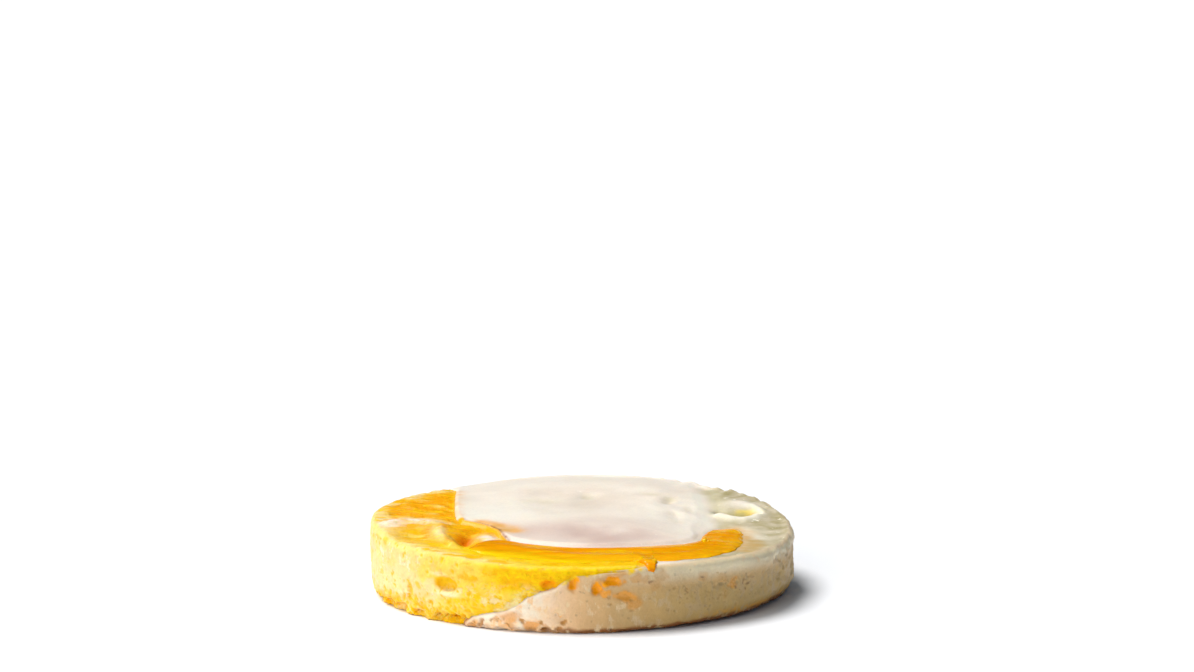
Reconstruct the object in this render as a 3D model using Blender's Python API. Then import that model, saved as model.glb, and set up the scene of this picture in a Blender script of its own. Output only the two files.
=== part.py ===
"""A fried egg that set in a round egg ring, about 78 mm across and 13 mm thick.

Three solids make it: the white, with its smooth cap; the yolk, which broke and set through the left side and
along the front edge; and the runny yolk, a glossy band in the hollow between the cap and the front rim.

Metres, +Z up. The front of the egg faces -Y. The origin is the centre of the underside.
Angles are in degrees, anticlockwise from +X as seen from above, so the front is at 270.
"""

import math

import bmesh
import bpy
import numpy as np

# Driving sizes of the ring-set disc
RIM_RADIUS = 0.0390
RIM_ROUNDING = 0.0013
BASE_ROUNDING = 0.0009
CENTRE_HEIGHT = 0.0124
# The wall leans in towards the table by this much, below this height
WALL_DRAFT = 0.0004
WALL_DRAFT_TOP = 0.0095
# Inside this share of the radius the top has its centre height
CENTRE_SHARE = 0.15
# Slow waves of the wall round the disc: (size, waves in the round, phase)
RIM_WAVES = ((0.00012, 3, 0.7), (0.00010, 5, -1.1), (0.00006, 9, 0.0))
# Waves of the wall that drift with height: (size, waves in the round, drift in radians per metre)
WALL_WAVES = ((0.00010, 7, 600.0), (0.00007, 15, -900.0))
# How far in under the base the relief of the wall's foot fades out
BASE_FADE = 0.0060

# Height of the rim round the disc: (angle, height)
RIM_HEIGHTS = (
    (0, 0.0114),
    (35, 0.0133),
    (62, 0.0139),
    (95, 0.0140),
    (125, 0.0134),
    (155, 0.0136),
    (190, 0.0135),
    (218, 0.0126),
    (255, 0.0119),
    (305, 0.0118),
    (340, 0.0112),
)

# The cap of smooth white: plan outline, its edge step and its dome
CAP_OUTLINE = (
    (-0.0240, 0.0300),
    (-0.0241, 0.0190),
    (-0.0239, 0.0110),
    (-0.0234, 0.0020),
    (-0.0222, -0.0036),
    (-0.0194, -0.0054),
    (-0.0175, -0.0072),
    (-0.0160, -0.0100),
    (-0.0149, -0.0132),
    (-0.0132, -0.0164),
    (-0.0098, -0.0190),
    (-0.0042, -0.0213),
    (0.0010, -0.0219),
    (0.0060, -0.0216),
    (0.0105, -0.0206),
    (0.0150, -0.0191),
    (0.0185, -0.0168),
    (0.0202, -0.0146),
    (0.0208, -0.0120),
    (0.0213, -0.0090),
    (0.0221, -0.0061),
    (0.0236, -0.0030),
    (0.0250, 0.0010),
    (0.0250, 0.0110),
    (0.0244, 0.0200),
    (0.0240, 0.0300),
    (0.0200, 0.0420),
    (-0.0200, 0.0420),
)
CAP_STEP = 0.00055
CAP_STEP_WIDTH = 0.0012
CAP_STEP_OUTSIDE = 0.35
CAP_SLOPE_WIDTH = 0.0085
CAP_SLOPE_SIDE = (0.0170, 0.0230)
CAP_SLOPE_FRONT = (-0.0120, -0.0040)
CAP_DOME = 0.0009
CAP_DOME_REACH = 0.0140
CAP_FADE_START = 0.0240
CAP_FADE = 0.75

# The yolk: where its face meets the wall, as (height, angle), and its inner edge in plan at the top and base
YOLK_BACK_EDGE = ((-0.0020, 146), (0.0040, 140), (0.0090, 130), (0.0200, 126))
YOLK_WALL_EDGE = (
    (-0.0020, 236),
    (0.0007, 237),
    (0.0022, 240),
    (0.0030, 244),
    (0.0038, 249),
    (0.0050, 253),
    (0.0064, 255.5),
    (0.0075, 259),
    (0.0084, 263),
    (0.0097, 265.5),
    (0.0106, 268),
    (0.0111, 276),
    (0.0114, 284),
    (0.0118, 289),
    (0.0200, 290),
)
YOLK_INNER_TOP = (
    (0.0116, -0.0330),
    (0.0090, -0.0300),
    (0.0040, -0.0286),
    (-0.0020, -0.0284),
    (-0.0080, -0.0262),
    (-0.0123, -0.0220),
    (-0.0143, -0.0178),
    (-0.0155, -0.0142),
    (-0.0163, -0.0106),
    (-0.0178, -0.0077),
    (-0.0198, -0.0058),
    (-0.0225, -0.0040),
    (-0.0237, 0.0020),
    (-0.0241, 0.0110),
    (-0.0243, 0.0190),
    (-0.0243, 0.0260),
)
YOLK_INNER_BASE = (
    (-0.0203, -0.0300),
    (-0.0192, -0.0220),
    (-0.0190, -0.0130),
    (-0.0204, -0.0030),
    (-0.0232, 0.0070),
    (-0.0262, 0.0160),
)
YOLK_SHELF_LOW = 0.0055
YOLK_SHELF_HIGH = 0.0090
# The block that cuts the yolk out: its outside radius, where its inner edge starts, and its edges' points
BLOCK_RADIUS = 0.0450
INNER_EDGE_RADIUS = 0.0385
OUTER_POINTS = 26
INNER_POINTS = 34

# The band of runny yolk: its edges along the cap and the rim, in plan, from its left tip to its right end
BAND_INNER = (
    (-0.0200, -0.0239),
    (-0.0189, -0.0203),
    (-0.0166, -0.0176),
    (-0.0134, -0.0176),
    (-0.0100, -0.0198),
    (-0.0044, -0.0221),
    (0.0008, -0.0227),
    (0.0058, -0.0225),
    (0.0107, -0.0214),
    (0.0152, -0.0200),
    (0.0189, -0.0177),
    (0.0210, -0.0150),
    (0.0217, -0.0121),
    (0.0222, -0.0092),
    (0.0231, -0.0064),
    (0.0245, -0.0037),
    (0.0263, -0.0020),
    (0.0281, -0.0022),
)
BAND_OUTER = (
    (-0.0202, -0.0247),
    (-0.0182, -0.0279),
    (-0.0152, -0.0303),
    (-0.0122, -0.0314),
    (-0.0088, -0.0324),
    (-0.0041, -0.0345),
    (0.0004, -0.0352),
    (0.0053, -0.0339),
    (0.0098, -0.0329),
    (0.0147, -0.0333),
    (0.0187, -0.0317),
    (0.0224, -0.0295),
    (0.0252, -0.0259),
    (0.0271, -0.0225),
    (0.0285, -0.0178),
    (0.0291, -0.0122),
    (0.0294, -0.0076),
    (0.0290, -0.0036),
)
BAND_DEPTH = 0.0011
BAND_MENISCUS = 0.00035
BAND_SIDE = 0.00015
# Shares of the band's length where its ends start to taper, and how thick its tips stay
BAND_START_TAPER = 0.08
BAND_END_TAPER = 0.94
BAND_TIP = 0.15
# Its drip over the rim: where it leaves the band, as a share of the band's length, its width and its reach
DRIP_PLACE = 0.482
DRIP_HALF_WIDTH = 0.0185
DRIP_REACH = 0.0050
DRIP_BULGE = 0.0004
DRIP_SHOULDER = 0.30
DRIP_BULGE_START = 0.60

# Wall hollows: (angle, height, width, tall, depth), the share of their size that their dip takes, and how
# square their edges are
WALL_HOLLOWS = (
    (231.5, 0.0071, 0.0040, 0.0021, 0.0012),
    (261.4, 0.0085, 0.0018, 0.0013, 0.0007),
    (267.7, 0.0091, 0.0012, 0.0020, 0.0009),
    (273.9, 0.0081, 0.0016, 0.0016, 0.0009),
    (277.8, 0.0094, 0.0022, 0.0012, 0.0008),
    (281.4, 0.0066, 0.0024, 0.0011, 0.0004),
    (203.5, 0.0110, 0.0014, 0.0014, 0.0004),
    (217.5, 0.0040, 0.0012, 0.0030, 0.0005),
    (143.0, 0.0080, 0.0030, 0.0018, 0.0007),
    (52.0, 0.0070, 0.0022, 0.0015, 0.0005),
)
HOLLOW_SHARE = 0.62
HOLLOW_SQUARENESS = 1.6
# Notches in the bottom edge, and its bulge at the left (a negative notch): (angle, half width, height, depth)
BASE_NOTCHES = (
    (196.0, 14.0, 0.0035, -0.0003),
    (193.0, 4.0, 0.0012, 0.0006),
    (204.0, 2.0, 0.0012, 0.0006),
    (211.0, 2.0, 0.0012, 0.0006),
    (221.0, 1.8, 0.0014, 0.0008),
    (228.0, 1.3, 0.0010, 0.0006),
    (234.5, 1.8, 0.0013, 0.0008),
    (249.0, 1.6, 0.0010, 0.0005),
    (256.7, 1.4, 0.0016, 0.0008),
    (261.0, 1.0, 0.0011, 0.0006),
    (166.0, 2.6, 0.0012, 0.0006),
    (148.0, 1.8, 0.0012, 0.0007),
    (332.0, 26.0, 0.0022, 0.0012),
)
# A notch is at full depth up to the first share of its height, and gone at the second
NOTCH_FULL = 0.4
NOTCH_GONE = 1.5

# Relief of the top: ridges and grooves along plan lines, as (points, half width, height)
TOP_LINES = (
    # the fold of white across the left
    (((-0.0350, -0.0068), (-0.0330, -0.0056), (-0.0300, -0.0050), (-0.0272, -0.0062)), 0.0015, 0.0006),
    # streaks in the yolk at the left
    (((-0.0346, 0.0089), (-0.0311, 0.0076), (-0.0277, 0.0098), (-0.0250, 0.0080)), 0.0008, -0.0004),
    (((-0.0348, 0.0019), (-0.0297, 0.0014), (-0.0250, 0.0024)), 0.0007, -0.0004),
    (((-0.0331, 0.0158), (-0.0302, 0.0143), (-0.0255, 0.0138)), 0.0008, -0.0003),
    # the lip that curls round the pit
    (
        ((-0.0254, -0.0075), (-0.0259, -0.0107), (-0.0253, -0.0144), (-0.0241, -0.0182), (-0.0230, -0.0224)),
        0.0011,
        0.0007,
    ),
    # the trough that leaves the pit towards the cap
    (((-0.0206, -0.0145), (-0.0198, -0.0105), (-0.0184, -0.0084)), 0.0015, -0.0006),
    # the valley down the right side of the cap
    (((0.0240, 0.0270), (0.0248, 0.0170), (0.0251, 0.0080), (0.0256, 0.0)), 0.0026, -0.0005),
    # the slit in the fold at the right, and the lip that runs round it
    (((0.0256, 0.0096), (0.0270, 0.0090), (0.0300, 0.0086), (0.0323, 0.0088)), 0.0009, -0.0014),
    (
        (
            (0.0258, 0.0062),
            (0.0277, 0.0048),
            (0.0300, 0.0046),
            (0.0320, 0.0058),
            (0.0331, 0.0084),
            (0.0331, 0.0106),
            (0.0321, 0.0128),
        ),
        0.0013,
        0.0008,
    ),
)
# Round dents and humps: (x, y, radius in x, radius in y, depth)
TOP_DENTS = (
    (-0.0301, -0.0146, 0.0034, 0.0045, 0.0007),
    (-0.0212, -0.0176, 0.0019, 0.0034, 0.0021),
    (0.0012, 0.0166, 0.0022, 0.0026, 0.0004),
    (0.0162, 0.0130, 0.0012, 0.0020, 0.0004),
    (0.0172, 0.0015, 0.0011, 0.0028, 0.0003),
    (0.0335, -0.0080, 0.0035, 0.0060, 0.0003),
    (0.0287, 0.0146, 0.0040, 0.0038, -0.0008),
)

# Crimped rim at the back right: the part of the rim that has it, and its size
CRIMP_FROM = 22
CRIMP_TO = 60
CRIMP_HEIGHT = 0.00018
CRIMP_PLEATS = ((47, 0.8, 0.0), (71, 0.7, 1.0))
CRIMP_FADE_IN = (-12, 8)
CRIMP_FADE_OUT = (-8, 15)
CRIMP_INNER = 0.0300

# How finely the skin is drawn before it is simplified
COLUMNS = 300
TOP_ROWS = 44
ROUNDING_ROWS = 4
WALL_ROWS = 14
BASE_ROWS = 7
SKIN_KEPT = 0.14
BAND_COLUMNS = 60
DRIP_COLUMNS = 10
DRIP_SPREAD = 1.3
# Rows across the band, closer together towards the rim, where the drip bends over it
BAND_ROWS = (0.0, 0.13, 0.36, 0.60, 0.75, 0.84, 0.92, 1.0)
CLEARANCE = 0.0003
# The most that a sharp corner may be stretched when a cutter is grown by the clearance
CORNER_STRETCH = 2.0
WELD_DISTANCE = 1e-6
NORMAL_STEP = 0.00005


def smoothstep(low, high, value):
    """0 below low, 1 above high, and an S-curve between them."""
    t = np.clip((value - low) / (high - low), 0.0, 1.0)
    return t * t * (3.0 - 2.0 * t)


def hill(distance, half_width):
    """A smooth hill of height 1 at distance 0."""
    return np.exp(-((distance / half_width) ** 2))


def round_curve(points, angle):
    """Values at any angle, from (angle, value) points on a full circle, joined by a smooth cubic."""
    known = np.array([p[0] for p in points], float)
    value = np.array([p[1] for p in points], float)
    after = np.roll(known, -1)
    after[-1] += 360.0
    before = np.roll(known, 1)
    before[0] -= 360.0
    slope = (np.roll(value, -1) - np.roll(value, 1)) / (after - before)
    angle = np.mod(angle - known[0], 360.0) + known[0]
    i = np.searchsorted(known, angle, side="right") - 1
    span = after[i] - known[i]
    t = (angle - known[i]) / span
    j = (i + 1) % len(known)
    return (
        (2 * t**3 - 3 * t**2 + 1) * value[i]
        + (t**3 - 2 * t**2 + t) * span * slope[i]
        + (3 * t**2 - 2 * t**3) * value[j]
        + (t**3 - t**2) * span * slope[j]
    )


def open_curve(points, share):
    """Points at shares 0 to 1 of a smooth curve through the given points."""
    known = np.array(points, float)
    slope = np.gradient(known, axis=0)
    place = np.clip(share, 0.0, 1.0) * (len(known) - 1)
    i = np.minimum(place.astype(int), len(known) - 2)
    t = (place - i)[:, None]
    return (
        (2 * t**3 - 3 * t**2 + 1) * known[i]
        + (t**3 - 2 * t**2 + t) * slope[i]
        + (3 * t**2 - 2 * t**3) * known[i + 1]
        + (t**3 - t**2) * slope[i + 1]
    )


def line_distance(x, y, points):
    """Distance in plan from each (x, y) to a line through the points."""
    nearest = np.full(np.shape(x), np.inf)
    for (x0, y0), (x1, y1) in zip(points[:-1], points[1:]):
        dx, dy = x1 - x0, y1 - y0
        along = np.clip(((x - x0) * dx + (y - y0) * dy) / (dx * dx + dy * dy), 0.0, 1.0)
        nearest = np.minimum(nearest, np.hypot(x - x0 - along * dx, y - y0 - along * dy))
    return nearest


def inside_outline(x, y, points):
    """True where (x, y) lies inside the closed outline."""
    inside = np.zeros(np.shape(x), bool)
    for (x0, y0), (x1, y1) in zip(points, points[1:] + points[:1]):
        crosses = (y0 > y) != (y1 > y)
        rise = y1 - y0 if y1 != y0 else 1e-12
        inside ^= crosses & (x < (x1 - x0) * (y - y0) / rise + x0)
    return inside


def cap_depth(x, y):
    """How far inside the cap's outline a point lies. It is negative outside."""
    closed = CAP_OUTLINE + CAP_OUTLINE[:1]
    distance = line_distance(x, y, closed)
    return np.where(inside_outline(x, y, CAP_OUTLINE), distance, -distance)


def rim_radius(angle):
    """Radius of the wall: nearly round, with the slow waves of an egg ring that was not quite full."""
    a = np.radians(angle)
    return RIM_RADIUS + sum(size * np.sin(waves * a + phase) for size, waves, phase in RIM_WAVES)


def crimp(angle):
    """Small pleats along the rim at the back right."""
    angle = np.mod(angle + 180.0, 360.0) - 180.0
    a = np.radians(angle)
    fade_in = smoothstep(CRIMP_FROM + CRIMP_FADE_IN[0], CRIMP_FROM + CRIMP_FADE_IN[1], angle)
    fade_out = smoothstep(CRIMP_TO + CRIMP_FADE_OUT[0], CRIMP_TO + CRIMP_FADE_OUT[1], angle)
    pleats = sum(share * np.sin(waves * a + phase) for waves, share, phase in CRIMP_PLEATS)
    return fade_in * (1 - fade_out) * CRIMP_HEIGHT * pleats


def top_height(x, y):
    """Height of the top surface, before the rounding of the rim."""
    radius = np.hypot(x, y)
    angle = np.degrees(np.arctan2(y, x))
    share = smoothstep(CENTRE_SHARE, 1.0, radius / RIM_RADIUS)
    height = CENTRE_HEIGHT + (round_curve(RIM_HEIGHTS, angle) - CENTRE_HEIGHT) * share
    height = height + crimp(angle) * smoothstep(CRIMP_INNER, RIM_RADIUS, radius)
    depth = cap_depth(x, y)
    slope = smoothstep(*CAP_SLOPE_SIDE, x) * smoothstep(*CAP_SLOPE_FRONT, y)
    step_width = CAP_STEP_WIDTH + (CAP_SLOPE_WIDTH - CAP_STEP_WIDTH) * slope
    cap = CAP_STEP * smoothstep(-CAP_STEP_OUTSIDE, 1 - CAP_STEP_OUTSIDE, depth / step_width)
    cap = cap + CAP_DOME * smoothstep(0.0, CAP_DOME_REACH, depth)
    height = height + cap * (1 - CAP_FADE * smoothstep(CAP_FADE_START, RIM_RADIUS, radius))
    for points, half_width, rise in TOP_LINES:
        height = height + rise * hill(line_distance(x, y, points), half_width)
    for dent_x, dent_y, radius_x, radius_y, dip in TOP_DENTS:
        height = height - dip * hill(np.hypot((x - dent_x) / radius_x, (y - dent_y) / radius_y), 1.0)
    return height


def wall_shift(angle, height):
    """How far the wall stands out (or in) from the rim's radius at a height above the table."""
    a = np.radians(angle)
    shift = -WALL_DRAFT * (1 - smoothstep(0.0, WALL_DRAFT_TOP, height))
    for size, waves, drift in WALL_WAVES:
        shift = shift + size * np.sin(waves * a + drift * height)
    for at, level, width, tall, dip in WALL_HOLLOWS:
        across = (np.mod(angle - at + 180.0, 360.0) - 180.0) * math.radians(1) * RIM_RADIUS
        place = np.hypot(across / width, (height - level) / tall) / HOLLOW_SHARE
        shift = shift - dip * hill(place**HOLLOW_SQUARENESS, 1.0)
    for at, half_width, tall, dip in BASE_NOTCHES:
        across = np.mod(angle - at + 180.0, 360.0) - 180.0
        fade = smoothstep(NOTCH_FULL * tall, NOTCH_GONE * tall, height)
        shift = shift - dip * hill(across / half_width, 1.0) * (1 - fade)
    return shift


def skin_point(angle, reach):
    """The point at a distance from the top's centre, measured over the skin: across the top, round the rim,
    down the wall, round the bottom edge and back in under the base."""
    a = np.radians(angle)
    rim = rim_radius(angle)
    flat = rim - RIM_ROUNDING
    quarter = RIM_ROUNDING * math.pi / 2
    base_quarter = BASE_ROUNDING * math.pi / 2
    edge = top_height(flat * np.cos(a), flat * np.sin(a))
    fall = edge - RIM_ROUNDING - BASE_ROUNDING
    turn = np.clip((reach - flat) / RIM_ROUNDING, 0.0, math.pi / 2)
    down = np.clip(reach - flat - quarter, 0.0, fall)
    turn_in = np.clip((reach - flat - quarter - fall) / BASE_ROUNDING, 0.0, math.pi / 2)
    inward = np.maximum(reach - flat - quarter - fall - base_quarter, 0.0)
    across = np.minimum(reach, flat)
    radius = across + RIM_ROUNDING * np.sin(turn)
    height = top_height(across * np.cos(a), across * np.sin(a))
    height = height - RIM_ROUNDING * (1 - np.cos(turn)) - down - BASE_ROUNDING * np.sin(turn_in)
    wall = smoothstep(0.0, 1.0, turn / (math.pi / 2)) * (1 - smoothstep(0.0, BASE_FADE, inward))
    radius = radius - BASE_ROUNDING * (1 - np.cos(turn_in)) - inward + wall * wall_shift(angle, height)
    height = np.where(inward > 0, 0.0, np.maximum(height, 0.0))
    return np.stack([radius * np.cos(a), radius * np.sin(a), height], axis=-1)


def skin_reach(angle, row):
    """The distance over the skin of a row of the mesh, where the whole numbers of row are the section ends:
    0 the top's centre, 1 and 2 the rounding of the rim, 3 and 4 the bottom edge, 5 the base's centre."""
    flat = rim_radius(angle) - RIM_ROUNDING
    a = np.radians(angle)
    edge = top_height(flat * np.cos(a), flat * np.sin(a))
    lengths = np.stack(
        [
            flat,
            np.full_like(flat, RIM_ROUNDING * math.pi / 2),
            edge - RIM_ROUNDING - BASE_ROUNDING,
            np.full_like(flat, BASE_ROUNDING * math.pi / 2),
            rim_radius(angle) - BASE_ROUNDING,
        ]
    )
    section = np.clip(row[None, :] - np.arange(5)[:, None], 0.0, 1.0)
    return (lengths * section).sum(axis=0)


def new_object(name, mesh_data, material=None):
    """An object that holds the finished mesh, shaded smooth."""
    mesh = bpy.data.meshes.new(name)
    mesh_data.to_mesh(mesh)
    mesh_data.free()
    mesh.shade_smooth()
    obj = bpy.data.objects.new(name, mesh)
    bpy.context.scene.collection.objects.link(obj)
    if material:
        mesh.materials.append(material)
    return obj


def helper(obj):
    """A cutter is left out of the model."""
    obj.hide_render = True
    obj.display_type = "WIRE"
    return obj


def face_outwards(mesh_data):
    """Turns the faces of a closed mesh outwards: its volume is positive only when they are."""
    bmesh.ops.recalc_face_normals(mesh_data, faces=mesh_data.faces)
    if mesh_data.calc_volume(signed=True) < 0:
        bmesh.ops.reverse_faces(mesh_data, faces=mesh_data.faces)


def grow(mesh_data, distance):
    """Moves every face of a closed mesh out by the distance."""
    mesh_data.normal_update()
    moves = [v.normal * distance * min(v.calc_shell_factor(), CORNER_STRETCH) for v in mesh_data.verts]
    for vertex, move in zip(mesh_data.verts, moves):
        vertex.co += move


def section_rows():
    """Row values down the whole profile, closer together round the rim and the bottom edge."""
    counts = (TOP_ROWS, ROUNDING_ROWS, WALL_ROWS, ROUNDING_ROWS, BASE_ROWS)
    rows = [0.0]
    for section, count in enumerate(counts):
        rows += [section + (i + 1) / count for i in range(count)]
    return rows


def egg_skin():
    """The whole egg as one closed skin: a turned disc whose points are then moved to the relief."""
    bm = bmesh.new()
    row_layer = bm.verts.layers.float.new("row")
    profile = []
    for row in section_rows():
        share = row if row <= 1 else (5.0 - row) / 4.0
        vertex = bm.verts.new((share * RIM_RADIUS, 0.0, -CENTRE_HEIGHT * row / 5.0))
        vertex[row_layer] = row
        profile.append(vertex)
    edges = [bm.edges.new(pair) for pair in zip(profile[:-1], profile[1:])]
    bmesh.ops.spin(bm, geom=profile + edges, cent=(0, 0, 0), axis=(0, 0, 1), angle=2 * math.pi, steps=COLUMNS)
    bmesh.ops.remove_doubles(bm, verts=bm.verts, dist=WELD_DISTANCE)
    places = np.array([v.co for v in bm.verts])
    rows = np.array([v[row_layer] for v in bm.verts])
    angles = np.degrees(np.arctan2(places[:, 1], places[:, 0]))
    for vertex, point in zip(bm.verts, skin_point(angles, skin_reach(angles, rows))):
        vertex.co = point
    bmesh.ops.triangulate(bm, faces=bm.faces)
    face_outwards(bm)
    return bm


def yolk_outline(height):
    """The closed plan outline of the yolk's block at a height, with as many points at every height."""
    start = float(np.interp(height, *zip(*YOLK_BACK_EDGE)))
    end = float(np.interp(height, *zip(*YOLK_WALL_EDGE)))
    outer = np.radians(np.linspace(start, end, OUTER_POINTS))
    arc = BLOCK_RADIUS * np.stack([np.cos(outer), np.sin(outer)], axis=1)
    share = np.linspace(0.0, 1.0, INNER_POINTS)
    shelf = smoothstep(YOLK_SHELF_LOW, YOLK_SHELF_HIGH, height)
    low = open_curve(YOLK_INNER_BASE, share)
    inner = low + (open_curve(YOLK_INNER_TOP, share) - low) * shelf
    wall_point = INNER_EDGE_RADIUS * np.array([[math.cos(outer[-1]), math.sin(outer[-1])]])
    return np.vstack([arc, wall_point, inner])


def yolk_block(grown):
    """The block that the yolk fills: plan outlines at rising heights, bridged, with closed ends."""
    bm = bmesh.new()
    loops = []
    heights = sorted([height for height, _ in YOLK_WALL_EDGE] + [YOLK_SHELF_HIGH])
    for height in heights:
        ring = [bm.verts.new((x, y, height)) for x, y in yolk_outline(height)]
        loops.append([bm.edges.new(pair) for pair in zip(ring, ring[1:] + ring[:1])])
    for low, high in zip(loops[:-1], loops[1:]):
        bmesh.ops.bridge_loops(bm, edges=low + high)
    for loop in (loops[0], loops[-1]):
        bmesh.ops.contextual_create(bm, geom=loop)
    bmesh.ops.triangulate(bm, faces=bm.faces)
    face_outwards(bm)
    if grown:
        grow(bm, CLEARANCE)
    return bm


def band_edges(share):
    """The band's two edges at shares 0 to 1 of its length. The outer one runs out into the drip."""
    inner = open_curve(BAND_INNER, share)
    outer = open_curve(BAND_OUTER, share)
    reach = np.hypot(outer[:, 0], outer[:, 1])
    tongue = 1 - smoothstep(DRIP_SHOULDER, 1.0, np.abs(share - DRIP_PLACE) / DRIP_HALF_WIDTH)
    return inner, outer * (1 + DRIP_REACH * tongue / reach)[:, None], tongue


def band_shares():
    """Places along the band for the columns of its mesh, closer together where the drip is."""
    even = np.linspace(0.0, 1.0, BAND_COLUMNS - DRIP_COLUMNS + 1)
    drip = DRIP_PLACE + DRIP_SPREAD * DRIP_HALF_WIDTH * np.linspace(-1.0, 1.0, DRIP_COLUMNS)
    return np.sort(np.concatenate([even, drip]))


def skin_normal(x, y):
    """The outward direction of the skin at a plan place, with places past the rim unrolled down the wall."""
    angle = np.degrees(np.arctan2(y, x))
    reach = np.hypot(x, y)
    along = skin_point(angle, reach + NORMAL_STEP) - skin_point(angle, reach - NORMAL_STEP)
    turn = np.degrees(NORMAL_STEP / reach)
    round_way = skin_point(angle + turn, reach) - skin_point(angle - turn, reach)
    normal = np.cross(along, round_way)
    return normal / np.linalg.norm(normal, axis=1)[:, None]


def band_mesh(grown):
    """The runny yolk: a grid laid between its two edges, with a rounded top and a dished underside."""
    bm = bmesh.new()
    strips = len(BAND_ROWS) - 1
    bmesh.ops.create_grid(bm, x_segments=BAND_COLUMNS, y_segments=strips, size=0.5)
    places = np.array([v.co for v in bm.verts])
    share = band_shares()[np.rint((places[:, 0] + 0.5) * BAND_COLUMNS).astype(int)]
    across = np.array(BAND_ROWS)[np.rint((places[:, 1] + 0.5) * strips).astype(int)]
    inner, outer, tongue = band_edges(share)
    plan = inner + (outer - inner) * across[:, None]
    point = skin_point(np.degrees(np.arctan2(plan[:, 1], plan[:, 0])), np.hypot(plan[:, 0], plan[:, 1]))
    normal = skin_normal(plan[:, 0], plan[:, 1])
    end = smoothstep(0.0, BAND_START_TAPER, share) * (1 - smoothstep(BAND_END_TAPER, 1.0, share))
    fill = np.sqrt(np.clip(1 - (2 * across - 1) ** 2, 0.0, 1.0)) * (BAND_TIP + (1 - BAND_TIP) * end)
    bulge = BAND_MENISCUS + DRIP_BULGE * tongue * smoothstep(DRIP_BULGE_START, 1.0, across)
    top = point + normal * (bulge * fill + BAND_SIDE)[:, None]
    under = point - normal * (BAND_DEPTH * fill + BAND_SIDE)[:, None]
    for vertex, place in zip(bm.verts, top):
        vertex.co = place
    upper = list(bm.verts)
    rim_edges = [e for e in bm.edges if e.is_boundary]
    copy = bmesh.ops.duplicate(bm, geom=list(bm.verts) + list(bm.edges) + list(bm.faces))
    twin = copy["vert_map"]
    for vertex, place in zip(upper, under):
        twin[vertex].co = place
    for edge in rim_edges:
        a, b = edge.verts
        bm.faces.new((a, b, twin[b], twin[a]))
    bmesh.ops.triangulate(bm, faces=bm.faces)
    face_outwards(bm)
    if grown:
        grow(bm, CLEARANCE)
    return bm


def food_material(name, colour, roughness):
    """A plain material of one colour."""
    material = bpy.data.materials.new(name)
    material.use_nodes = True
    shader = material.node_tree.nodes["Principled BSDF"]
    shader.inputs["Base Color"].default_value = (*colour, 1.0)
    shader.inputs["Roughness"].default_value = roughness
    shader.inputs["Metallic"].default_value = 0.0
    return material


def cut(obj, other, operation, solver="EXACT"):
    """Adds a live Boolean with another object."""
    modifier = obj.modifiers.new(operation.lower() + "_" + other.name, "BOOLEAN")
    modifier.operation = operation
    modifier.solver = solver
    modifier.object = other


def simplify(obj):
    """Fewer triangles where the skin is smooth, so that they stay where the relief is."""
    modifier = obj.modifiers.new("simplify", "DECIMATE")
    modifier.ratio = SKIN_KEPT


def main():
    for obj in list(bpy.data.objects):
        bpy.data.objects.remove(obj)
    white = food_material("cooked_white", (0.86, 0.82, 0.72), 0.45)
    yellow = food_material("set_yolk", (0.92, 0.60, 0.06), 0.45)
    orange = food_material("runny_yolk", (0.95, 0.38, 0.01), 0.15)
    yolk_cutter = helper(new_object("yolk_block", yolk_block(grown=False)))
    yolk_room = helper(new_object("yolk_room", yolk_block(grown=True)))
    band_room = helper(new_object("band_room", band_mesh(grown=True)))
    egg_white = new_object("egg_white", egg_skin(), white)
    yolk = new_object("yolk", egg_skin(), yellow)
    for obj in (egg_white, yolk):
        simplify(obj)
    # The exact solver leaves nothing of a piece cut by the grown band, so those two cuts use the other one
    cut(egg_white, yolk_room, "DIFFERENCE")
    cut(egg_white, band_room, "DIFFERENCE", "MANIFOLD")
    cut(yolk, yolk_cutter, "INTERSECT")
    cut(yolk, band_room, "DIFFERENCE", "MANIFOLD")
    new_object("runny_yolk", band_mesh(grown=False), orange)


main()
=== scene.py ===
"""The looks of a fried egg that set in a ring: its white, its broken set yolk and a band of runny yolk.

The file is laid out as a Blender add-on and is run as a script. Metres, +Z up, the front faces -Y, and the
origin is the centre of the underside. Angles are in degrees, anticlockwise from +X as seen from above.
"""

import math

import bmesh
import bpy
import numpy as np
from bpy.props import FloatProperty, FloatVectorProperty, IntProperty, PointerProperty
from mathutils import Matrix, Vector, noise


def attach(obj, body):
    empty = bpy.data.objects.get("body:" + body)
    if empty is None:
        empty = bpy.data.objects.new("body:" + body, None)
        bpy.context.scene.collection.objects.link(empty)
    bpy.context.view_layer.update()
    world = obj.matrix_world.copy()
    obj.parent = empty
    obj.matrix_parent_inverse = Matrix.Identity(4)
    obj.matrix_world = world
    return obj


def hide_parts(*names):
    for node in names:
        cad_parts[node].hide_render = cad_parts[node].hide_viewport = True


bl_info = {
    "name": "Fried egg",
    "version": (1, 0, 0),
    "blender": (4, 5, 0),
    "location": "3D View > Sidebar > Egg",
    "description": "Builds a ring-cooked fried egg with a runny yolk, and its stage",
    "category": "Object",
}

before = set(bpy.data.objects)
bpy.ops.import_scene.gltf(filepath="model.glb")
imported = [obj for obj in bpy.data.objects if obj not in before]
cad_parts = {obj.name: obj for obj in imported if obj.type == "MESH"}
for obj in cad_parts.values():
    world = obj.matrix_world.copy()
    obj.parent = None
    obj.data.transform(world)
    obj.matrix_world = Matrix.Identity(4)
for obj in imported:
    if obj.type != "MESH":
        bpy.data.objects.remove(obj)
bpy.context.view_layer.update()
BODY = "root"
MM = 0.001

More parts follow.
